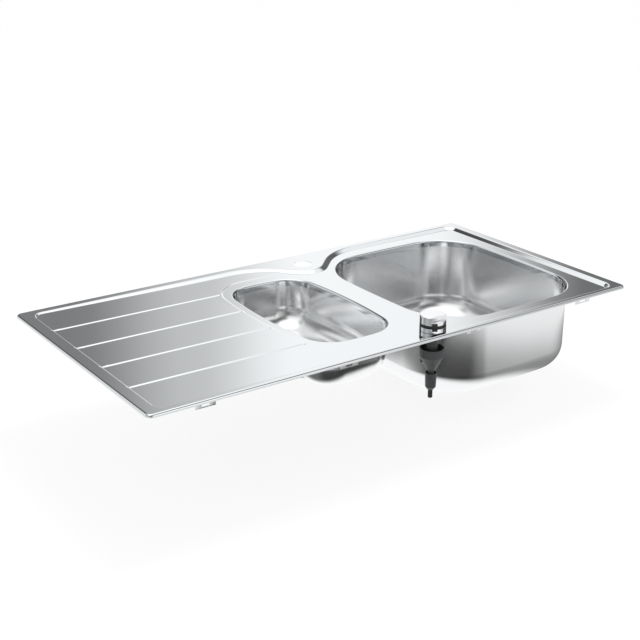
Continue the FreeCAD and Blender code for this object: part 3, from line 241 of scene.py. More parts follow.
def joined(arcs):
    """An outline from arcs in turn, with a line wherever two of them don't meet."""
    pieces = []
    for index, arc in enumerate(arcs):
        pieces.append(("arc", *arc))
        following = arcs[(index + 1) % len(arcs)]
        end, start = arc_place(arc, arc[3]), arc_place(following, following[2])
        if np.linalg.norm(end - start) > 1e-4:
            pieces.append(("line", tuple(end), tuple(start)))
    return Outline(pieces)


def rounded_rectangle(half_x, half_y, radius):
    arcs = []
    for index, (sign_x, sign_y) in enumerate(((1, -1), (1, 1), (-1, 1), (-1, -1))):
        start = (index - 1) * QUARTER
        centre = (sign_x * (half_x - radius), sign_y * (half_y - radius))
        arcs.append((centre, radius, start, start + QUARTER))
    return joined(arcs)


def recess_outline(share):
    """The sunk deck's outline between the top of its slope, share 0, and the foot, share 1."""
    inset = SLOPE_RUN * share
    left, right, back = -RECESS_X + inset, RECESS_X - inset, RECESS_BACK - inset
    front = RECESS_FRONT + FRONT_SLOPE_RUN * share
    corner, tip, sweep = RECESS_CORNER - inset, TAP_TIP + inset, TAP_SWEEP - inset
    flank = QUARTER / 2
    sweep_y = back - sweep
    tip_end = (TAP[0] + tip * math.cos(flank), TAP[1] - tip * math.sin(flank))
    sweep_start = sweep_y + sweep * math.cos(flank)
    reach = tip_end[0] + sweep_start - tip_end[1] + sweep * math.sin(flank) - TAP[0]
    return joined([
        ((left + corner, front + corner), corner, -2 * QUARTER, -QUARTER),
        ((right - corner, front + corner), corner, -QUARTER, 0.0),
        ((right - corner, back - corner), corner, 0.0, QUARTER),
        ((TAP[0] + reach, sweep_y), sweep, QUARTER, QUARTER + flank),
        (TAP, tip, -QUARTER + flank, -QUARTER - flank),
        ((TAP[0] - reach, sweep_y), sweep, QUARTER - flank, QUARTER),
        ((left + corner, back - corner), corner, QUARTER, 2 * QUARTER),
    ])


def bowl_outline(bowl):
    """A bowl's outline: bulged sides joined by tangent corner arcs."""
    x, y, side, end = bowl["x"], bowl["y"], bowl["side"], bowl["end"]
    right_x = bowl["length"] / 2 - side
    end_y = bowl["width"] / 2 - end
    ends = []
    for corner in bowl["corners"]:
        reach_side, reach_end = side - corner, end - corner
        gap = math.hypot(right_x, end_y)
        along = (reach_side ** 2 - reach_end ** 2 + gap ** 2) / (2 * gap)
        height = math.sqrt(reach_side ** 2 - along ** 2)
        unit = (-right_x / gap, end_y / gap)
        foot = (right_x + unit[0] * along, unit[1] * along)
        choices = [(foot[0] - s * unit[1] * height, foot[1] + s * unit[0] * height) for s in (1, -1)]
        cx, cy = max(choices, key=sum)
        ends.append((cx, cy, math.atan2(cy, cx - right_x), math.atan2(cy - end_y, cx), corner))
    front_right, back_right, back_left, front_left = ends
    turn = math.pi
    return joined([
        ((x + right_x, y), side, -front_right[2], back_right[2]),
        ((x + back_right[0], y + back_right[1]), back_right[4], back_right[2], back_right[3]),
        ((x, y + end_y), end, back_right[3], turn - back_left[3]),
        ((x - back_left[0], y + back_left[1]), back_left[4], turn - back_left[3], turn - back_left[2]),
        ((x - right_x, y), side, turn - back_left[2], turn + front_left[2]),
        ((x - front_left[0], y - front_left[1]), front_left[4], turn + front_left[2],
         turn + front_left[3]),
        ((x, y - end_y), end, turn + front_left[3], 2 * turn - front_right[3]),
        ((x + front_right[0], y - front_right[1]), front_right[4], 2 * turn - front_right[3],
         2 * turn - front_right[2]),
    ])


def terrace_outline():
    """The lower terrace round the bowls, open past the recess on its other sides."""
    radius, corner, back = TERRACE_RADIUS, TERRACE_CORNER, TERRACE_BACK
    far_x, far_y = PAST_RECESS
    centre = (TERRACE_X + radius, HALF["y"])
    corner_y = back - corner
    corner_x = centre[0] - math.sqrt((radius - corner) ** 2 - (corner_y - centre[1]) ** 2)
    meet = math.atan2(corner_y - centre[1], corner_x - centre[0])
    front = math.pi + math.asin((centre[1] + far_y) / radius)
    start = (centre[0] + radius * math.cos(front), centre[1] + radius * math.sin(front))
    stations = [start, (far_x, -far_y), (far_x, far_y), (TAP[0], far_y), (TAP[0], back), (corner_x, back)]
    lines = [("line", here, after) for here, after in zip(stations, stations[1:])]
    return Outline([*lines, ("arc", (corner_x, corner_y), corner, QUARTER, meet),
                    ("arc", centre, radius, meet, front)])


def circle(centre, radius, count):
    angle = np.linspace(0, 2 * math.pi, count, endpoint=False)
    return np.stack([centre[0] + radius * np.cos(angle), centre[1] + radius * np.sin(angle)], 1)


def away_from(xy, centre):
    return np.hypot(xy[:, 0] - centre[0], xy[:, 1] - centre[1])


def quarter_turn(count):
    """Angles of a quarter turn in equal steps, without its start."""
    return np.linspace(0, QUARTER, count + 1)[1:]


recess_line = recess_outline(0.5)
terrace_line = terrace_outline()
main_line = bowl_outline(MAIN)
half_line = bowl_outline(HALF)
rim_line = rounded_rectangle(*RIM_HALF, RIM_CORNER)


# Meshes

def add_piece(name, body, points, faces, normals=None):
    """A smooth mesh piece from points in millimetres, riding on a body."""
    mesh = bpy.data.meshes.new(name)
    mesh.from_pydata((np.asarray(points) * MM).tolist(), [], [list(map(int, face)) for face in faces])
    mesh.polygons.foreach_set("use_smooth", [True] * len(mesh.polygons))
    if normals is not None:
        mesh.normals_split_custom_set_from_vertices(np.asarray(normals).tolist())
    piece = bpy.data.objects.new(name, mesh)
    bpy.context.scene.collection.objects.link(piece)
    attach(piece, body)
    return piece


def unit_rows(rows):
    return rows / np.linalg.norm(rows, axis=1)[:, None]


def raised(places, level):
    """Plan points with a level, or plan directions with their upward part."""
    return np.column_stack([places, np.full(len(places), level)])


def thickened(points, normals, faces, thickness):
    """A sheet's two sides and its edges, from its upper side."""
    count = len(points)
    both = np.concatenate([points, points - normals * thickness])
    both_normals = np.concatenate([normals, -normals])
    under = [[i + count for i in reversed(face)] for face in faces]
    once = {}
    for face in faces:
        for index, here in enumerate(face):
            after = face[(index + 1) % len(face)]
            if (after, here) in once:
                del once[(after, here)]
            else:
                once[(here, after)] = True
    edges = [[after, here, here + count, after + count] for here, after in once]
    return both, both_normals, list(faces) + under + edges


def strip(first_rows, count):
    """Quads round and round between rows of equal length whose first indices are given."""
    faces = []
    for upper, lower in zip(first_rows, first_rows[1:]):
        for index in range(count):
            after = (index + 1) % count
            faces.append([upper + index, lower + index, lower + after, upper + after])
    return faces


def merged(shapes):
    """Several shapes' points, normals and faces as one."""
    points, normals, faces, total = [], [], [], 0
    for shape_points, shape_normals, shape_faces in shapes:
        points.append(shape_points)
        normals.append(shape_normals)
        faces += [[i + total for i in face] for face in shape_faces]
        total += len(shape_points)
    return np.concatenate(points), np.concatenate(normals), faces


# The deck

def smooth_step(share):
    share = np.clip(share, 0, 1)
    return share * share * share * (share * (share * 6 - 15) + 10)


def rounded_ramp(value, reach):
    """Zero below 0 and the value above it, with the bend rounded over the reach each way."""
    return np.where(np.abs(value) < reach, (value + reach) ** 2 / (4 * reach), np.maximum(value, 0))


def rounded_minimum(first, second, reach):
    share = np.clip(0.5 + 0.5 * (second - first) / reach, 0, 1)
    return second * (1 - share) + first * share - reach * share * (1 - share)


def narrower(steeper, value):
    amount, start, length = steeper
    return amount * smooth_step((start - value) / length)


def deck_height(xy):
    """The level of the deck's upper side, away from the bowls' lips and the outer roll."""
    x, y = xy[:, 0], xy[:, 1]
    recess = recess_line.distance(xy)
    along = np.clip((x + RECESS_X) / (TERRACE_X + RECESS_X), 0, 1)
    depth = DRAINER_LEFT + (DRAINER_RIGHT - DRAINER_LEFT) * along
    terrace = terrace_line.distance(xy)
    depth = depth + SHEET * smooth_step((TERRACE_BLEND - terrace) / (2 * TERRACE_BLEND))
    half_run = SLOPE_HALF_RUN - narrower(STEEPER_FRONT, y) - narrower(STEEPER_LEFT, x)
    fall = SLOPE_RATE / half_run * rounded_ramp(half_run - recess, SLOPE_ROUNDING * half_run)
    height = RIM_TOP - rounded_minimum(fall, depth, FOOT_ROUNDING)
    inside = smooth_step((GROOVE_FADE - recess) / (2 * GROOVE_FADE))
    for groove_y, groove_end in GROOVES.items():
        beyond = np.maximum(0, np.maximum(GROOVE_START - x, x - groove_end))
        away = np.hypot(y - groove_y, beyond)
        height -= GROOVE_DEPTH * smooth_step(1 - away / GROOVE_REACH) * inside
    return height


def deck_normals(xy):
    """The deck's upward directions, from its slopes."""
    near = 0.05
    slope_x = (deck_height(xy + (near, 0)) - deck_height(xy - (near, 0))) / (2 * near)
    slope_y = (deck_height(xy + (0, near)) - deck_height(xy - (0, near))) / (2 * near)
    return unit_rows(np.stack([-slope_x, -slope_y, np.ones(len(xy))], 1))


def offsets(reach, step):
    return np.arange(-reach, reach + 0.1, step)


def groove_rows(y, end):
    """Rows of points along a groove, close together at its ends."""
    stations = (GROOVE_START - 9.0, GROOVE_START + 9.0, end - 4.0, end + 6.0)
    lengthwise = np.concatenate([np.arange(start, stop, step) for start, stop, step
                                 in zip(stations, stations[1:], GROOVE_STEPS)])
    return [np.stack([lengthwise, np.full(len(lengthwise), y + offset)], 1)
            for offset in offsets(*GROOVE_ROWS)]


def open_grid():
    """A coarse grid of points that keeps away from the slope, the terrace's edge and the grooves."""
    columns, rows = (np.arange(-reach, reach + 1, GRID_PITCH) for reach in GRID_REACH)
    grid = np.stack(np.meshgrid(columns, rows), -1).reshape(-1, 2)
    keep = (np.abs(recess_line.distance(grid)) > 12) & (np.abs(terrace_line.distance(grid)) > 6)
    for y in GROOVES:
        keep &= (np.abs(grid[:, 1] - y) > 8) | (grid[:, 0] > TERRACE_X + 15)
    return grid[keep]


def deck_points():
    """Rows of points that follow each feature, and a coarse fill between them."""
    rows = []
    for offset in offsets(*SLOPE_ROWS):
        row = recess_line.points(LINE_STEP, offset)[0]
        beside = np.abs(row[:, 1:] - np.array(list(GROOVES))).min(axis=1) > GROOVE_CLEAR
        rows.append(row[beside | (row[:, 0] < 1 - RECESS_X) | (row[:, 0] > TERRACE_X)])
    for offset in offsets(*TERRACE_ROWS):
        rows.append(terrace_line.points(TERRACE_STEP, offset)[0])
    for y, end in GROOVES.items():
        rows += groove_rows(y, end)
    for wider in TAP_ROWS:
        rows.append(circle(TAP, TAP_HOLE + wider, TAP_COUNT))
    rows.append(open_grid())
    points = np.concatenate(rows)
    keep = rim_line.distance(points) < -1.2
    for line in (main_line, half_line):
        keep &= line.distance(points) > LIP_RADIUS + 1.0
    keep &= away_from(points, KNOB) > KNOB_HOLE + 1
    keep &= away_from(points, TAP) > TAP_HOLE + 0.5
    points = points[keep]
    cells = {}
    for index, place in enumerate(np.round(points / POINT_CELL).astype(int)):
        cells.setdefault(tuple(place), index)
    return points[sorted(cells.values())]


def deck_plan(loops):
    """The deck in plan: its points, its triangles, and the indices of each loop's points."""
    edges, rings, first = [], [], 0
    for loop in loops:
        count = len(loop)
        rings.append(range(first, first + count))
        edges += [(first + i, first + (i + 1) % count) for i in range(count)]
        first += count
    flat = np.concatenate([*loops, deck_points()])
    made = delaunay_2d_cdt([Vector(p) for p in flat], edges, [], 0, 1e-5)
    xy = np.array([tuple(v) for v in made[0]])
    place_of = {original: index for index, originals in enumerate(made[3]) for original in originals}
    triangles = np.array(made[2])
    middle = xy[triangles].mean(axis=1)
    keep = (main_line.distance(middle) > LIP_RADIUS) & (half_line.distance(middle) > LIP_RADIUS)
    keep &= (away_from(middle, TAP) > TAP_HOLE) & (away_from(middle, KNOB) > KNOB_HOLE)
    triangles = triangles[keep]
    a, b, c = (xy[triangles[:, corner]] for corner in range(3))
    turn = (b[:, 0] - a[:, 0]) * (c[:, 1] - a[:, 1]) - (b[:, 1] - a[:, 1]) * (c[:, 0] - a[:, 0])
    triangles[turn < 0] = triangles[turn < 0][:, ::-1]
    triangles = triangles[np.abs(turn) > 1e-9]
    return xy, triangles.tolist(), [[place_of[i] for i in ring] for ring in rings]


def build_deck():
    """The pressed deck, with its outer roll and the lips down to the bowls hung on its loops."""
    loops = [rim_line.points(LINE_STEP)[0], main_line.points(LINE_STEP, LIP_RADIUS)[0],
             half_line.points(LINE_STEP, LIP_RADIUS)[0], circle(TAP, TAP_HOLE, TAP_COUNT),
             circle(KNOB, KNOB_HOLE, KNOB_COUNT)]
    xy, faces, rings = deck_plan(loops)
    points = [np.column_stack([xy, deck_height(xy)])]
    normals = [deck_normals(xy)]
    total = len(xy)
    # each row: offset from its outline, level, and the sideways and upward parts of its normal
    roll = [(ROLL_OUT * math.sin(angle), RIM_TOP * math.cos(angle),
             RIM_TOP * math.sin(angle), ROLL_OUT * math.cos(angle)) for angle in quarter_turn(8)]
    lip = [(LIP_RADIUS * (1 - math.sin(angle)), DECK_TOP - LIP_RADIUS * (1 - math.cos(angle)),
            -math.sin(angle), math.cos(angle)) for angle in quarter_turn(9)]
    lip.append((0.0, LIP_BOTTOM, -1.0, 0.0))
    for line, upper, rows in zip((rim_line, main_line, half_line), rings, (roll, lip, lip)):
        for offset, level, sideways, upward in rows:
            places, outward = line.points(LINE_STEP, offset)
            points.append(raised(places, level))
            normals.append(unit_rows(raised(outward * sideways, upward)))
            count = len(places)
            lower = range(total, total + count)
            total += count
            for i in range(count):
                j = (i + 1) % count
                quad = [upper[i], lower[i], lower[j], upper[j]]
                faces.append(quad if line is rim_line else quad[::-1])
            upper = lower
    points, normals, faces = thickened(np.concatenate(points), np.concatenate(normals), faces, SHEET)
    piece = add_piece("deck_pressing", "sink", points, faces, normals)
    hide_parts("deck")
    return piece


# The bowls

def build_bowl(name, node, bowl, line):
    """A pressed bowl: its wall, the bend into its floor, and the sunk seat of its waste."""
    floor, fillet = bowl["floor"], bowl["fillet"]
    wall, outward = line.points(LINE_STEP)
    count = len(wall)
    rows = [(0.0, level, -1.0, 0.0) for level in np.linspace(LIP_BOTTOM, floor + fillet, 6)]
    rows += [(-fillet * (1 - math.cos(angle)), floor + fillet * (1 - math.sin(angle)),
              -math.cos(angle), math.sin(angle)) for angle in quarter_turn(17)]
    points = [raised(wall + outward * offset, level) for offset, level, _, _ in rows]
    normals = [raised(outward * sideways, upward) for _, _, sideways, upward in rows]
    foot = points[-1][:, :2]
    centre = np.array((bowl["x"], bowl["y"]))
    rays = unit_rows(foot - centre)
    seat_top, seat_foot, seat_depth, hole = bowl["seat"]
    for share in FLOOR_SHARES:
        places = foot * (1 - share) + (centre + rays * (seat_top + FLOOR_MARGIN)) * share
        points.append(raised(places, floor))
        normals.append(np.tile((0.0, 0.0, 1.0), (count, 1)))
    outer, inner = seat_top + SEAT_EASE[0], seat_foot - SEAT_EASE[1]
    seat = [(outer + (inner - outer) * share, floor - seat_depth * float(smooth_step(share)))
            for share in np.linspace(0, 1, 12)]
    seat.append((hole, floor - seat_depth))
    for index, (radius, level) in enumerate(seat):
        before, after = seat[max(0, index - 1)], seat[min(len(seat) - 1, index + 1)]
        run, drop = before[0] - after[0], before[1] - after[1]
        points.append(raised(centre + rays * radius, level))
        normals.append(unit_rows(raised(-rays * drop, run)))
    faces = [face[::-1] for face in strip([count * index for index in range(len(points))], count)]
    points, normals, faces = thickened(np.concatenate(points), np.concatenate(normals), faces, SHEET)
    piece = add_piece(name, "sink", points, faces, normals)
    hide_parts(node)
    return piece


# Turned, moulded and bent pieces

def rounded_profile(corners, radius):
    """A closed profile of radius and height with each corner rounded, and the outward normals."""
    corners = np.array(corners, dtype=float)
    after = np.roll(corners, -1, axis=0)
    if np.sum(corners[:, 0] * after[:, 1] - after[:, 0] * corners[:, 1]) > 0:
        corners = corners[::-1]
    places, normals = [], []
    for index, corner in enumerate(corners):
        before, behind = corners[index - 1], corners[(index + 1) % len(corners)]
        come, leave = corner - before, behind - corner
        room = 0.4 * min(np.linalg.norm(come), np.linalg.norm(leave))
        come, leave = come / np.linalg.norm(come), leave / np.linalg.norm(leave)
        turn = math.atan2(come[0] * leave[1] - come[1] * leave[0], come @ leave)
        reach = min(room, radius * abs(math.tan(turn / 2)))
        bend = reach / math.tan(turn / 2)
        first = np.array((-come[1], come[0]))
        centre = corner - come * reach + first * bend
        for share in np.linspace(0, 1, 5):
            angle = turn * share
            normal = np.array((first[0] * math.cos(angle) - first[1] * math.sin(angle),
                               first[0] * math.sin(angle) + first[1] * math.cos(angle)))
            places.append(centre - normal * bend)
            normals.append(normal)
    return np.array(places), np.array(normals)


def revolved(corners, radius):
    """Points, normals and faces of a ring turned about the knob's axis."""
    profile, across = rounded_profile(corners, radius)
    angle = np.linspace(0, 2 * math.pi, TURNED_SEGMENTS, endpoint=False)
    ray = np.stack([np.cos(angle), np.sin(angle)], 1)
    points = [raised(np.array(KNOB) + ray * reach, level) for reach, level in profile]
    normals = [raised(ray * outward, upward) for outward, upward in across]
    starts = [TURNED_SEGMENTS * index for index in range(len(points))] + [0]
    return np.concatenate(points), np.concatenate(normals), strip(starts, TURNED_SEGMENTS)


def eased_block(sizes, degrees, bevel):
    """A bevelled block that stands out from the knob's axis, turned about it."""
    near, far_foot, far_top, side, foot, top = sizes
    mesh = bmesh.new()
    verts = []
    for far, level in ((far_foot, foot), (far_top, top)):
        for corner in ((near, -side, level), (far, -side, level), (far, side, level), (near, side, level)):
            verts.append(mesh.verts.new(corner))
    for face in ((0, 3, 2, 1), (4, 5, 6, 7), (0, 1, 5, 4), (1, 2, 6, 5), (2, 3, 7, 6), (3, 0, 4, 7)):
        mesh.faces.new([verts[i] for i in face])
    bmesh.ops.bevel(mesh, geom=mesh.edges[:], offset=bevel, segments=3, profile=0.5, affect="EDGES")
    mesh.normal_update()
    mesh.verts.index_update()
    cos, sin = math.cos(math.radians(degrees)), math.sin(math.radians(degrees))
    points, normals = [], []
    for vert in mesh.verts:
        for row, source, (x, y) in ((points, vert.co, KNOB), (normals, vert.normal, (0, 0))):
            row.append((source[0] * cos - source[1] * sin + x, source[0] * sin + source[1] * cos + y,
                        source[2]))
    faces = [[vert.index for vert in face.verts] for face in mesh.faces]
    mesh.free()
    return np.array(points), np.array(normals), faces


def build_housing():
    """The moulded cup under the knob, with its two hanging fins and its rib."""
    shapes = [revolved(HOUSING_PROFILE, 0.7)]
    shapes += [eased_block(FIN, angle, 0.6) for angle in FIN_ANGLES]
    shapes.append(eased_block(RIB, RIB_ANGLE, 0.3))
    points, normals, faces = merged(shapes)
    piece = add_piece("housing_moulding", "sink", points, faces, normals)
    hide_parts("actuator_housing")
    return piece


def build_turned(name, node, corners, radius):
    points, normals, faces = revolved(corners, radius)
    piece = add_piece(name, "sink", points, faces, normals)
    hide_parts(node)
    return piece


def bracket_sheet(x, side, top):
    """One bent bracket with a window; side is 1 at the front and -1 at the back."""
    bend = BRACKET_BEND
    path = [(BRACKET_FACE, level, -1.0, 0.0) for level in (*BRACKET_LEVELS, top - bend)]
    path += [(BRACKET_FACE + bend * (1 - math.cos(angle)), top - bend * (1 - math.sin(angle)),
              -math.cos(angle), math.sin(angle)) for angle in quarter_turn(5)]
    path.append((BRACKET_END, top, 0.0, 1.0))
    columns = x + np.array(BRACKET_COLUMNS)
    points = np.array([(column, y * side, z) for y, z, _, _ in path for column in columns])
    normals = np.array([(0.0, across * side, upward) for _, _, across, upward in path for _ in columns])
    width = len(columns)
    faces = []
    for row in range(len(path) - 1):
        for index in range(width - 1):
            if (row, index) == WINDOW_CELL:
                continue
            here = row * width + index
            face = [here, here + 1, here + width + 1, here + width]
            faces.append(face if side > 0 else face[::-1])
    return thickened(points, normals, faces, BRACKET_SHEET)


def build_brackets(name, node, places, side):
    """A row of brackets whose sheet edges are eased."""
    points, _, faces = merged([bracket_sheet(x, side, top) for x, top in places])
    piece = add_piece(name, "sink", points, faces)
    mesh = bmesh.new()
    mesh.from_mesh(piece.data)
    sharp = [edge for edge in mesh.edges if len(edge.link_faces) == 2 and edge.calc_face_angle() > 1.2]
    bmesh.ops.bevel(mesh, geom=sharp, offset=0.18 * MM, segments=2, profile=0.5, affect="EDGES")
    mesh.to_mesh(piece.data)
    mesh.free()
    piece.data.set_sharp_from_angle(angle=math.radians(40))
    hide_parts(node)
    return piece


# Materials

# Scale and detail of the noise in the steel's grain, in its smudges and in the mouldings' wear, the range
# of the two steel noises together, and the height of each grain in metres
STEEL_GRAIN = (900.0, 3.0)
STEEL_SMUDGES = (14.0, 4.0)
STEEL_RANGE = (0.6, 1.4)
STEEL_GRAIN_HEIGHT = 0.0004
MOULDED_WEAR = (60.0, 4.0)
MOULDED_DETAIL = 2.0
MOULDED_VARIATION = 0.06
MOULDED_TINTS = ((0.3, 0.8), (0.7, 1.15))
MOULDED_GRAIN_HEIGHT = 0.0002


class Graph:
    """The nodes of a material or a world."""

    def __init__(self, owner):
        owner.use_nodes = True
        self.nodes, self.links = owner.node_tree.nodes, owner.node_tree.links

    def feed(self, node, inputs):
        """Links each input that is given an output and sets the others."""
        for name, value in inputs.items():
            if isinstance(value, bpy.types.NodeSocket):
                self.links.new(value, node.inputs[name])
            else:
                node.inputs[name].default_value = value

    def add(self, kind, inputs, **settings):
        node = self.nodes.new(kind)
        for name, value in settings.items():
            setattr(node, name, value)
        self.feed(node, inputs)
        return node

    def place(self, output):
        return self.add("ShaderNodeTexCoord", {}).outputs[output]

    def noise(self, place, scale, detail):
        inputs = {"Vector": place, "Scale": scale, "Detail": detail}
        return self.add("ShaderNodeTexNoise", inputs).outputs["Fac"]

    def spread(self, source, source_range, target_range):
        """A value moved from one range to another."""
        inputs = {"Value": source, "From Min": source_range[0], "From Max": source_range[1],
                  "To Min": target_range[0], "To Max": target_range[1]}
        return self.add("ShaderNodeMapRange", inputs).outputs[0]

    def bump(self, height, strength, distance):
        inputs = {"Height": height, "Strength": strength, "Distance": distance}
        return self.add("ShaderNodeBump", inputs).outputs[0]

    def math(self, operation, *sources):
        return self.add("ShaderNodeMath", dict(enumerate(sources)), operation=operation).outputs[0]

    def azimuth(self, x, y):
        return self.math("DEGREES", self.math("ARCTAN2", y, x))

    def mixed(self, share, first, second):
        inputs = {"Factor": share, "A": first, "B": second}
        return self.add("ShaderNodeMix", inputs, data_type="RGBA").outputs["Result"]

    def ramp(self, source, stops):
        """A grey level that eases between stops of value and level."""
        low, high = stops[0][0], stops[-1][0]
        share = self.spread(source, (low, high), (0.0, 1.0))
        node = self.add("ShaderNodeValToRGB", {"Fac": share})
        node.color_ramp.interpolation = "EASE"
        elements = node.color_ramp.elements
        elements[0].position, elements[1].position = 0.0, 1.0
        for value, level in stops:
            position = (value - low) / (high - low)
            if position == 0.0:
                element = elements[0]
            elif position == 1.0:
                element = elements[-1]
            else:
                element = elements.new(position)
            element.color = grey(level)
        return node.outputs["Color"]


def grey(level):
    return (level, level, level, 1)


def steel_material(name, colour, roughness, grain=0.02, variation=0.03):
    """Steel with a fine grain in bump and roughness and faint handling smudges, all in object space."""
    material = bpy.data.materials.new(name)
    graph = Graph(material)
    place = graph.place("Object")
    fine, broad = graph.noise(place, *STEEL_GRAIN), graph.noise(place, *STEEL_SMUDGES)
    shine = graph.spread(graph.math("ADD", fine, broad), STEEL_RANGE,
                         (roughness - variation, roughness + variation))
    graph.feed(graph.nodes["Principled BSDF"], {
        "Metallic": 1.0, "Base Color": (*colour, 1), "Roughness": shine,
        "Normal": graph.bump(fine, grain, STEEL_GRAIN_HEIGHT)})
    return material


def moulded_material(name, colour, roughness, grain_scale=2200.0, bump_strength=0.12):
    """Moulded plastic or rubber with a fine spark-eroded grain and a little wear."""
    material = bpy.data.materials.new(name)
    graph = Graph(material)
    place = graph.place("Object")
    fine = graph.noise(place, grain_scale, MOULDED_DETAIL)
    broad = graph.noise(place, *MOULDED_WEAR)
    tint = graph.add("ShaderNodeValToRGB", {"Fac": broad})
    for element, (position, level) in zip(tint.color_ramp.elements, MOULDED_TINTS):
        element.color = (*[min(1, part * level) for part in colour], 1)
        element.position = position
    shine = graph.spread(broad, (0.0, 1.0), (roughness - MOULDED_VARIATION, roughness + MOULDED_VARIATION))
    graph.feed(graph.nodes["Principled BSDF"], {
        "Base Color": tint.outputs["Color"], "Roughness": shine,
        "Normal": graph.bump(fine, bump_strength, MOULDED_GRAIN_HEIGHT)})
    return material


materials = {
    "deck_steel": steel_material("deck_steel", (0.73, 0.75, 0.765), 0.07, 0.004, 0.008),
    # satin_steel, which the bowls wear, is the deck's steel with a paler colour: painted light that
    # brightens the bowls
    "satin_steel": steel_material("satin_steel", (0.86, 0.868, 0.875), 0.2, 0.01, 0.01),
    "polished_chrome": steel_material("polished_chrome", (0.80, 0.81, 0.82), 0.06, 0.003, 0.015),
    "stainless_trim": steel_material("stainless_trim", (0.74, 0.74, 0.75), 0.14, 0.008, 0.012),
    "galvanised": steel_material("galvanised", (0.78, 0.79, 0.80), 0.34, 0.03),
    "black_plastic": moulded_material("black_plastic", (0.008, 0.008, 0.0085), 0.35),
    "grey_plastic": moulded_material("grey_plastic", (0.05, 0.052, 0.054), 0.42),
    "white_plastic": moulded_material("white_plastic", (0.75, 0.75, 0.73), 0.45),
    "black_rubber": moulded_material("black_rubber", (0.02, 0.02, 0.02), 0.7),
    "foam": moulded_material("foam", (0.05, 0.05, 0.05), 0.9, 900.0, 0.4),
    "bitumen_pad": moulded_material("bitumen_pad", (0.09, 0.09, 0.09), 0.85, 500.0, 0.5),
    "brass_nickel": steel_material("brass_nickel", (0.66, 0.62, 0.52), 0.2, 0.01),
}
slots = {entry["node"]: entry["material_slot"] for entry in frame["record"]["subparts"]}


def dress(piece, slot, finish=None):
    """Gives a piece the material of its record slot, or of the finish given instead."""
    piece.data.materials.clear()
    piece.data.materials.append(materials[finish or slot])


deck = build_deck()
main_bowl = build_bowl("main_bowl_pressing", "main_bowl", MAIN, main_line)
half_bowl = build_bowl("half_bowl_pressing", "half_bowl", HALF, half_line)
dress(deck, "satin_steel", "deck_steel")
# the bowls get the paler copy of the deck's steel, a painted brightening
for bowl_piece in (main_bowl, half_bowl):
    dress(bowl_piece, "satin_steel")
moulded = {
    "actuator_housing": build_housing(),
    "cable_coupler": build_turned("coupler_moulding", "cable_coupler", COUPLER_PROFILE, 0.5),
    "cable_gland": build_turned("gland_tube", "cable_gland", GLAND_PROFILE, 0.3),
    "front_clip_brackets": build_brackets("front_brackets", "front_clip_brackets", FRONT_BRACKETS, 1),
    "rear_clip_brackets": build_brackets("rear_brackets", "rear_clip_brackets", REAR_BRACKETS, -1),
}
for replaced_node, replacement in moulded.items():
    dress(replacement, slots[replaced_node])

for node_name, solid in frame["nodes"].items():
    if node_name in ("deck", "main_bowl", "half_bowl", *moulded):
        continue
    for slot_index in range(max(1, len(solid.data.materials))):
        if slot_index < len(solid.data.materials):
            solid.data.materials[slot_index] = materials[slots[node_name]]
        else:
            solid.data.materials.append(materials[slots[node_name]])


# The floor, the light and the camera

# grey levels that polished steel sees, by degrees of azimuth or elevation, and by metres from the bowls
SKY_LEVEL = 1.35
HORIZON_STOPS = ((-180, 0.5), (-150, 0.3), (-120, 0.1), (-90, 0.4), (-62, 0.9), (-40, 0.45), (-15, 0.2),
                 (20, 0.08), (41.5, 0.14), (50, 0.87), (56, 0.88), (61, 0.51), (67, 0.19), (86, 0.2),
                 (95, 0.05), (110, 0.05), (122, 0.75), (150, 0.35), (180, 0.5))
BAND_STOPS = ((-90, 0), (-1, 0), (5, 1), (32, 1), (44, 0), (90, 0))
UPPER_STOPS = ((-180, 0.8), (-130, 0.75), (-105, 0.1), (-70, 0.06), (-20, 0.1), (5, 0.8), (60, 0.9),
               (100, 0.85), (125, 0.3), (150, 0.3), (180, 0.8))
TOP_STOPS = ((-90, 0), (50, 0), (66, 1), (90, 1))
TOP_LEVEL = 1.1
EDGE_STOPS = ((-90, 0), (34, 0), (36, 1), (45, 1), (47, 0), (90, 0))
EDGE_SIDE_STOPS = ((-180, 0), (64, 0), (73, 1), (88, 1), (98, 0), (180, 0))
EDGE_LEVEL = 0.06
FLOOR_STOPS = ((-180, 0.42), (-165, 0.3), (-150, 0.05), (-90, 0.04), (-72, 0.3), (-60, 0.7), (-50, 0.74),
               (-40, 0.66), (0, 0.4), (40, 0.9), (90, 0.9), (130, 0.6), (180, 0.42))
NEAR_STOPS = ((0, 1), (0.22, 1), (0.34, 0), (1.5, 0))
NEAR_LEVEL = 0.8
FAR_STOPS = ((0, 0.3), (0.38, 0.3), (0.5, 0.42), (0.72, 0.95), (1.5, 1))
PLAIN_STOPS = ((0, 0), (0.66, 0), (0.76, 1), (1.5, 1))
PLAIN_LEVEL = 0.75
BOWLS_X = 0.15

# the floor as the eye sees it: its half size, its gap below the sink, its grey and its glow
FLOOR_SIZE = 12.0
FLOOR_GAP = 0.002
FLOOR_LEVEL = 0.85
FLOOR_GLOW = 1.02
GLOW_SHARE = 0.85

# the camera: azimuth, elevation and roll in degrees, its place, and its lens in pixels of a frame of 640
CAMERA_ANGLES = (-34.976, 21.137, 0.256)
CAMERA_PLACE = (-1.2072, -1.6906, 0.7679)
FOCAL_PIXELS = 1223.5
FRAME_PIXELS = 640
SENSOR = 36.0


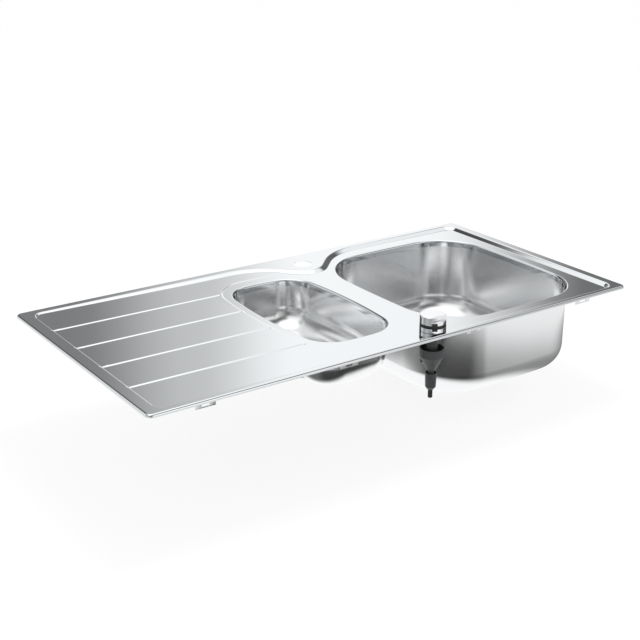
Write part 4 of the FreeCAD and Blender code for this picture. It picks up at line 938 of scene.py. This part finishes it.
def build_floor():
    """A white floor that keeps the sink's shadow; polished steel sees it light and dark by turns."""
    mesh = bpy.data.meshes.new("floor")
    level = cad_low.z - FLOOR_GAP
    corners = [(x * FLOOR_SIZE, y * FLOOR_SIZE, level) for x, y in ((-1, -1), (1, -1), (1, 1), (-1, 1))]
    mesh.from_pydata(corners, [], [(0, 1, 2, 3)])
    floor = bpy.data.objects.new("floor", mesh)
    bpy.context.scene.collection.objects.link(floor)
    material = bpy.data.materials.new("floor")
    graph = Graph(material)
    shader = graph.nodes["Principled BSDF"]
    graph.feed(shader, {"Base Color": grey(FLOOR_LEVEL), "Roughness": 0.9, "Specular IOR Level": 0.0})
    glow = graph.add("ShaderNodeEmission", {"Color": grey(1), "Strength": FLOOR_GLOW})
    plain = graph.add("ShaderNodeMixShader",
                      {"Fac": GLOW_SHARE, 1: shader.outputs[0], 2: glow.outputs[0]})
    shift = graph.add("ShaderNodeMapping",
                      {"Location": (-BOWLS_X, 0.0, 0.0), "Vector": graph.place("Object")})
    parts = graph.add("ShaderNodeSeparateXYZ", {"Vector": shift.outputs[0]})
    x, y = parts.outputs["X"], parts.outputs["Y"]
    reach = graph.math("SQRT", graph.math("MULTIPLY_ADD", y, y, graph.math("MULTIPLY", x, x)))
    around = graph.mixed(graph.ramp(reach, PLAIN_STOPS), graph.ramp(graph.azimuth(x, y), FLOOR_STOPS),
                         grey(PLAIN_LEVEL))
    dimmed = graph.add("ShaderNodeVectorMath", {0: around, 1: graph.ramp(reach, FAR_STOPS)},
                       operation="MULTIPLY")
    colour = graph.mixed(graph.ramp(reach, NEAR_STOPS), dimmed.outputs[0], grey(NEAR_LEVEL))
    seen = graph.add("ShaderNodeEmission", {"Color": colour, "Strength": SKY_LEVEL})
    glossy = graph.add("ShaderNodeLightPath", {}).outputs["Is Glossy Ray"]
    mix = graph.add("ShaderNodeMixShader", {"Fac": glossy, 1: plain.outputs[0], 2: seen.outputs[0]})
    graph.feed(graph.nodes["Material Output"], {"Surface": mix.outputs[0]})
    mesh.materials.append(material)


def build_world():
    """White to the eye; steel sees soft grey panels near the horizon and light sky above them."""
    world = bpy.data.worlds.new("studio")
    bpy.context.scene.world = world
    graph = Graph(world)
    parts = graph.add("ShaderNodeSeparateXYZ", {"Vector": graph.place("Generated")})
    azimuth = graph.azimuth(parts.outputs["X"], parts.outputs["Y"])
    height = graph.math("DEGREES", graph.math("ARCSINE", parts.outputs["Z"]))
    upper = graph.mixed(graph.ramp(height, TOP_STOPS), graph.ramp(azimuth, UPPER_STOPS), grey(TOP_LEVEL))
    sky = graph.mixed(graph.ramp(height, BAND_STOPS), upper, graph.ramp(azimuth, HORIZON_STOPS))
    edge = graph.math("MULTIPLY", graph.ramp(height, EDGE_STOPS), graph.ramp(azimuth, EDGE_SIDE_STOPS))
    panels = graph.mixed(edge, sky, grey(EDGE_LEVEL))
    seen = graph.add("ShaderNodeVectorMath", {0: panels, "Scale": SKY_LEVEL}, operation="SCALE")
    glossy = graph.add("ShaderNodeLightPath", {}).outputs["Is Glossy Ray"]
    graph.feed(graph.nodes["Background"], {"Color": graph.mixed(glossy, grey(1), seen.outputs[0]),
                                           "Strength": 1.0})


def build_lamp(name, place, target, size, energy):
    """A soft overhead lamp that polished steel doesn't mirror."""
    data = bpy.data.lights.new(name, "AREA")
    data.shape = "RECTANGLE"
    data.size, data.size_y = size
    data.energy = energy
    lamp = bpy.data.objects.new(name, data)
    bpy.context.scene.collection.objects.link(lamp)
    lamp.location = place
    lamp.visible_glossy = False
    lamp.rotation_euler = (Vector(target) - Vector(place)).to_track_quat("-Z", "Y").to_euler()


def build_camera():
    data = bpy.data.cameras.new("camera")
    camera = bpy.data.objects.new("camera", data)
    bpy.context.scene.collection.objects.link(camera)
    azimuth, elevation, roll = (math.radians(angle) for angle in CAMERA_ANGLES)
    back = Vector((math.sin(azimuth) * math.cos(elevation), -math.cos(azimuth) * math.cos(elevation),
                   math.sin(elevation)))
    right = (-back).cross(Vector((0, 0, 1))).normalized()
    up = right.cross(-back)
    rolled_right = right * math.cos(roll) + up * math.sin(roll)
    rolled_up = up * math.cos(roll) - right * math.sin(roll)
    camera.matrix_world = Matrix.Translation(CAMERA_PLACE) @ Matrix(
        (rolled_right, rolled_up, back)).transposed().to_4x4()
    data.sensor_width = SENSOR
    data.lens = SENSOR * FOCAL_PIXELS / FRAME_PIXELS
    data.clip_end = 100.0
    bpy.context.scene.camera = camera


build_floor()
build_world()
build_lamp("overhead", place=(0.15, -0.1, 1.7), target=(0.1, 0, 0), size=(0.7, 0.5), energy=14.0)
build_camera()
bpy.context.scene.view_settings.view_transform = "Standard"
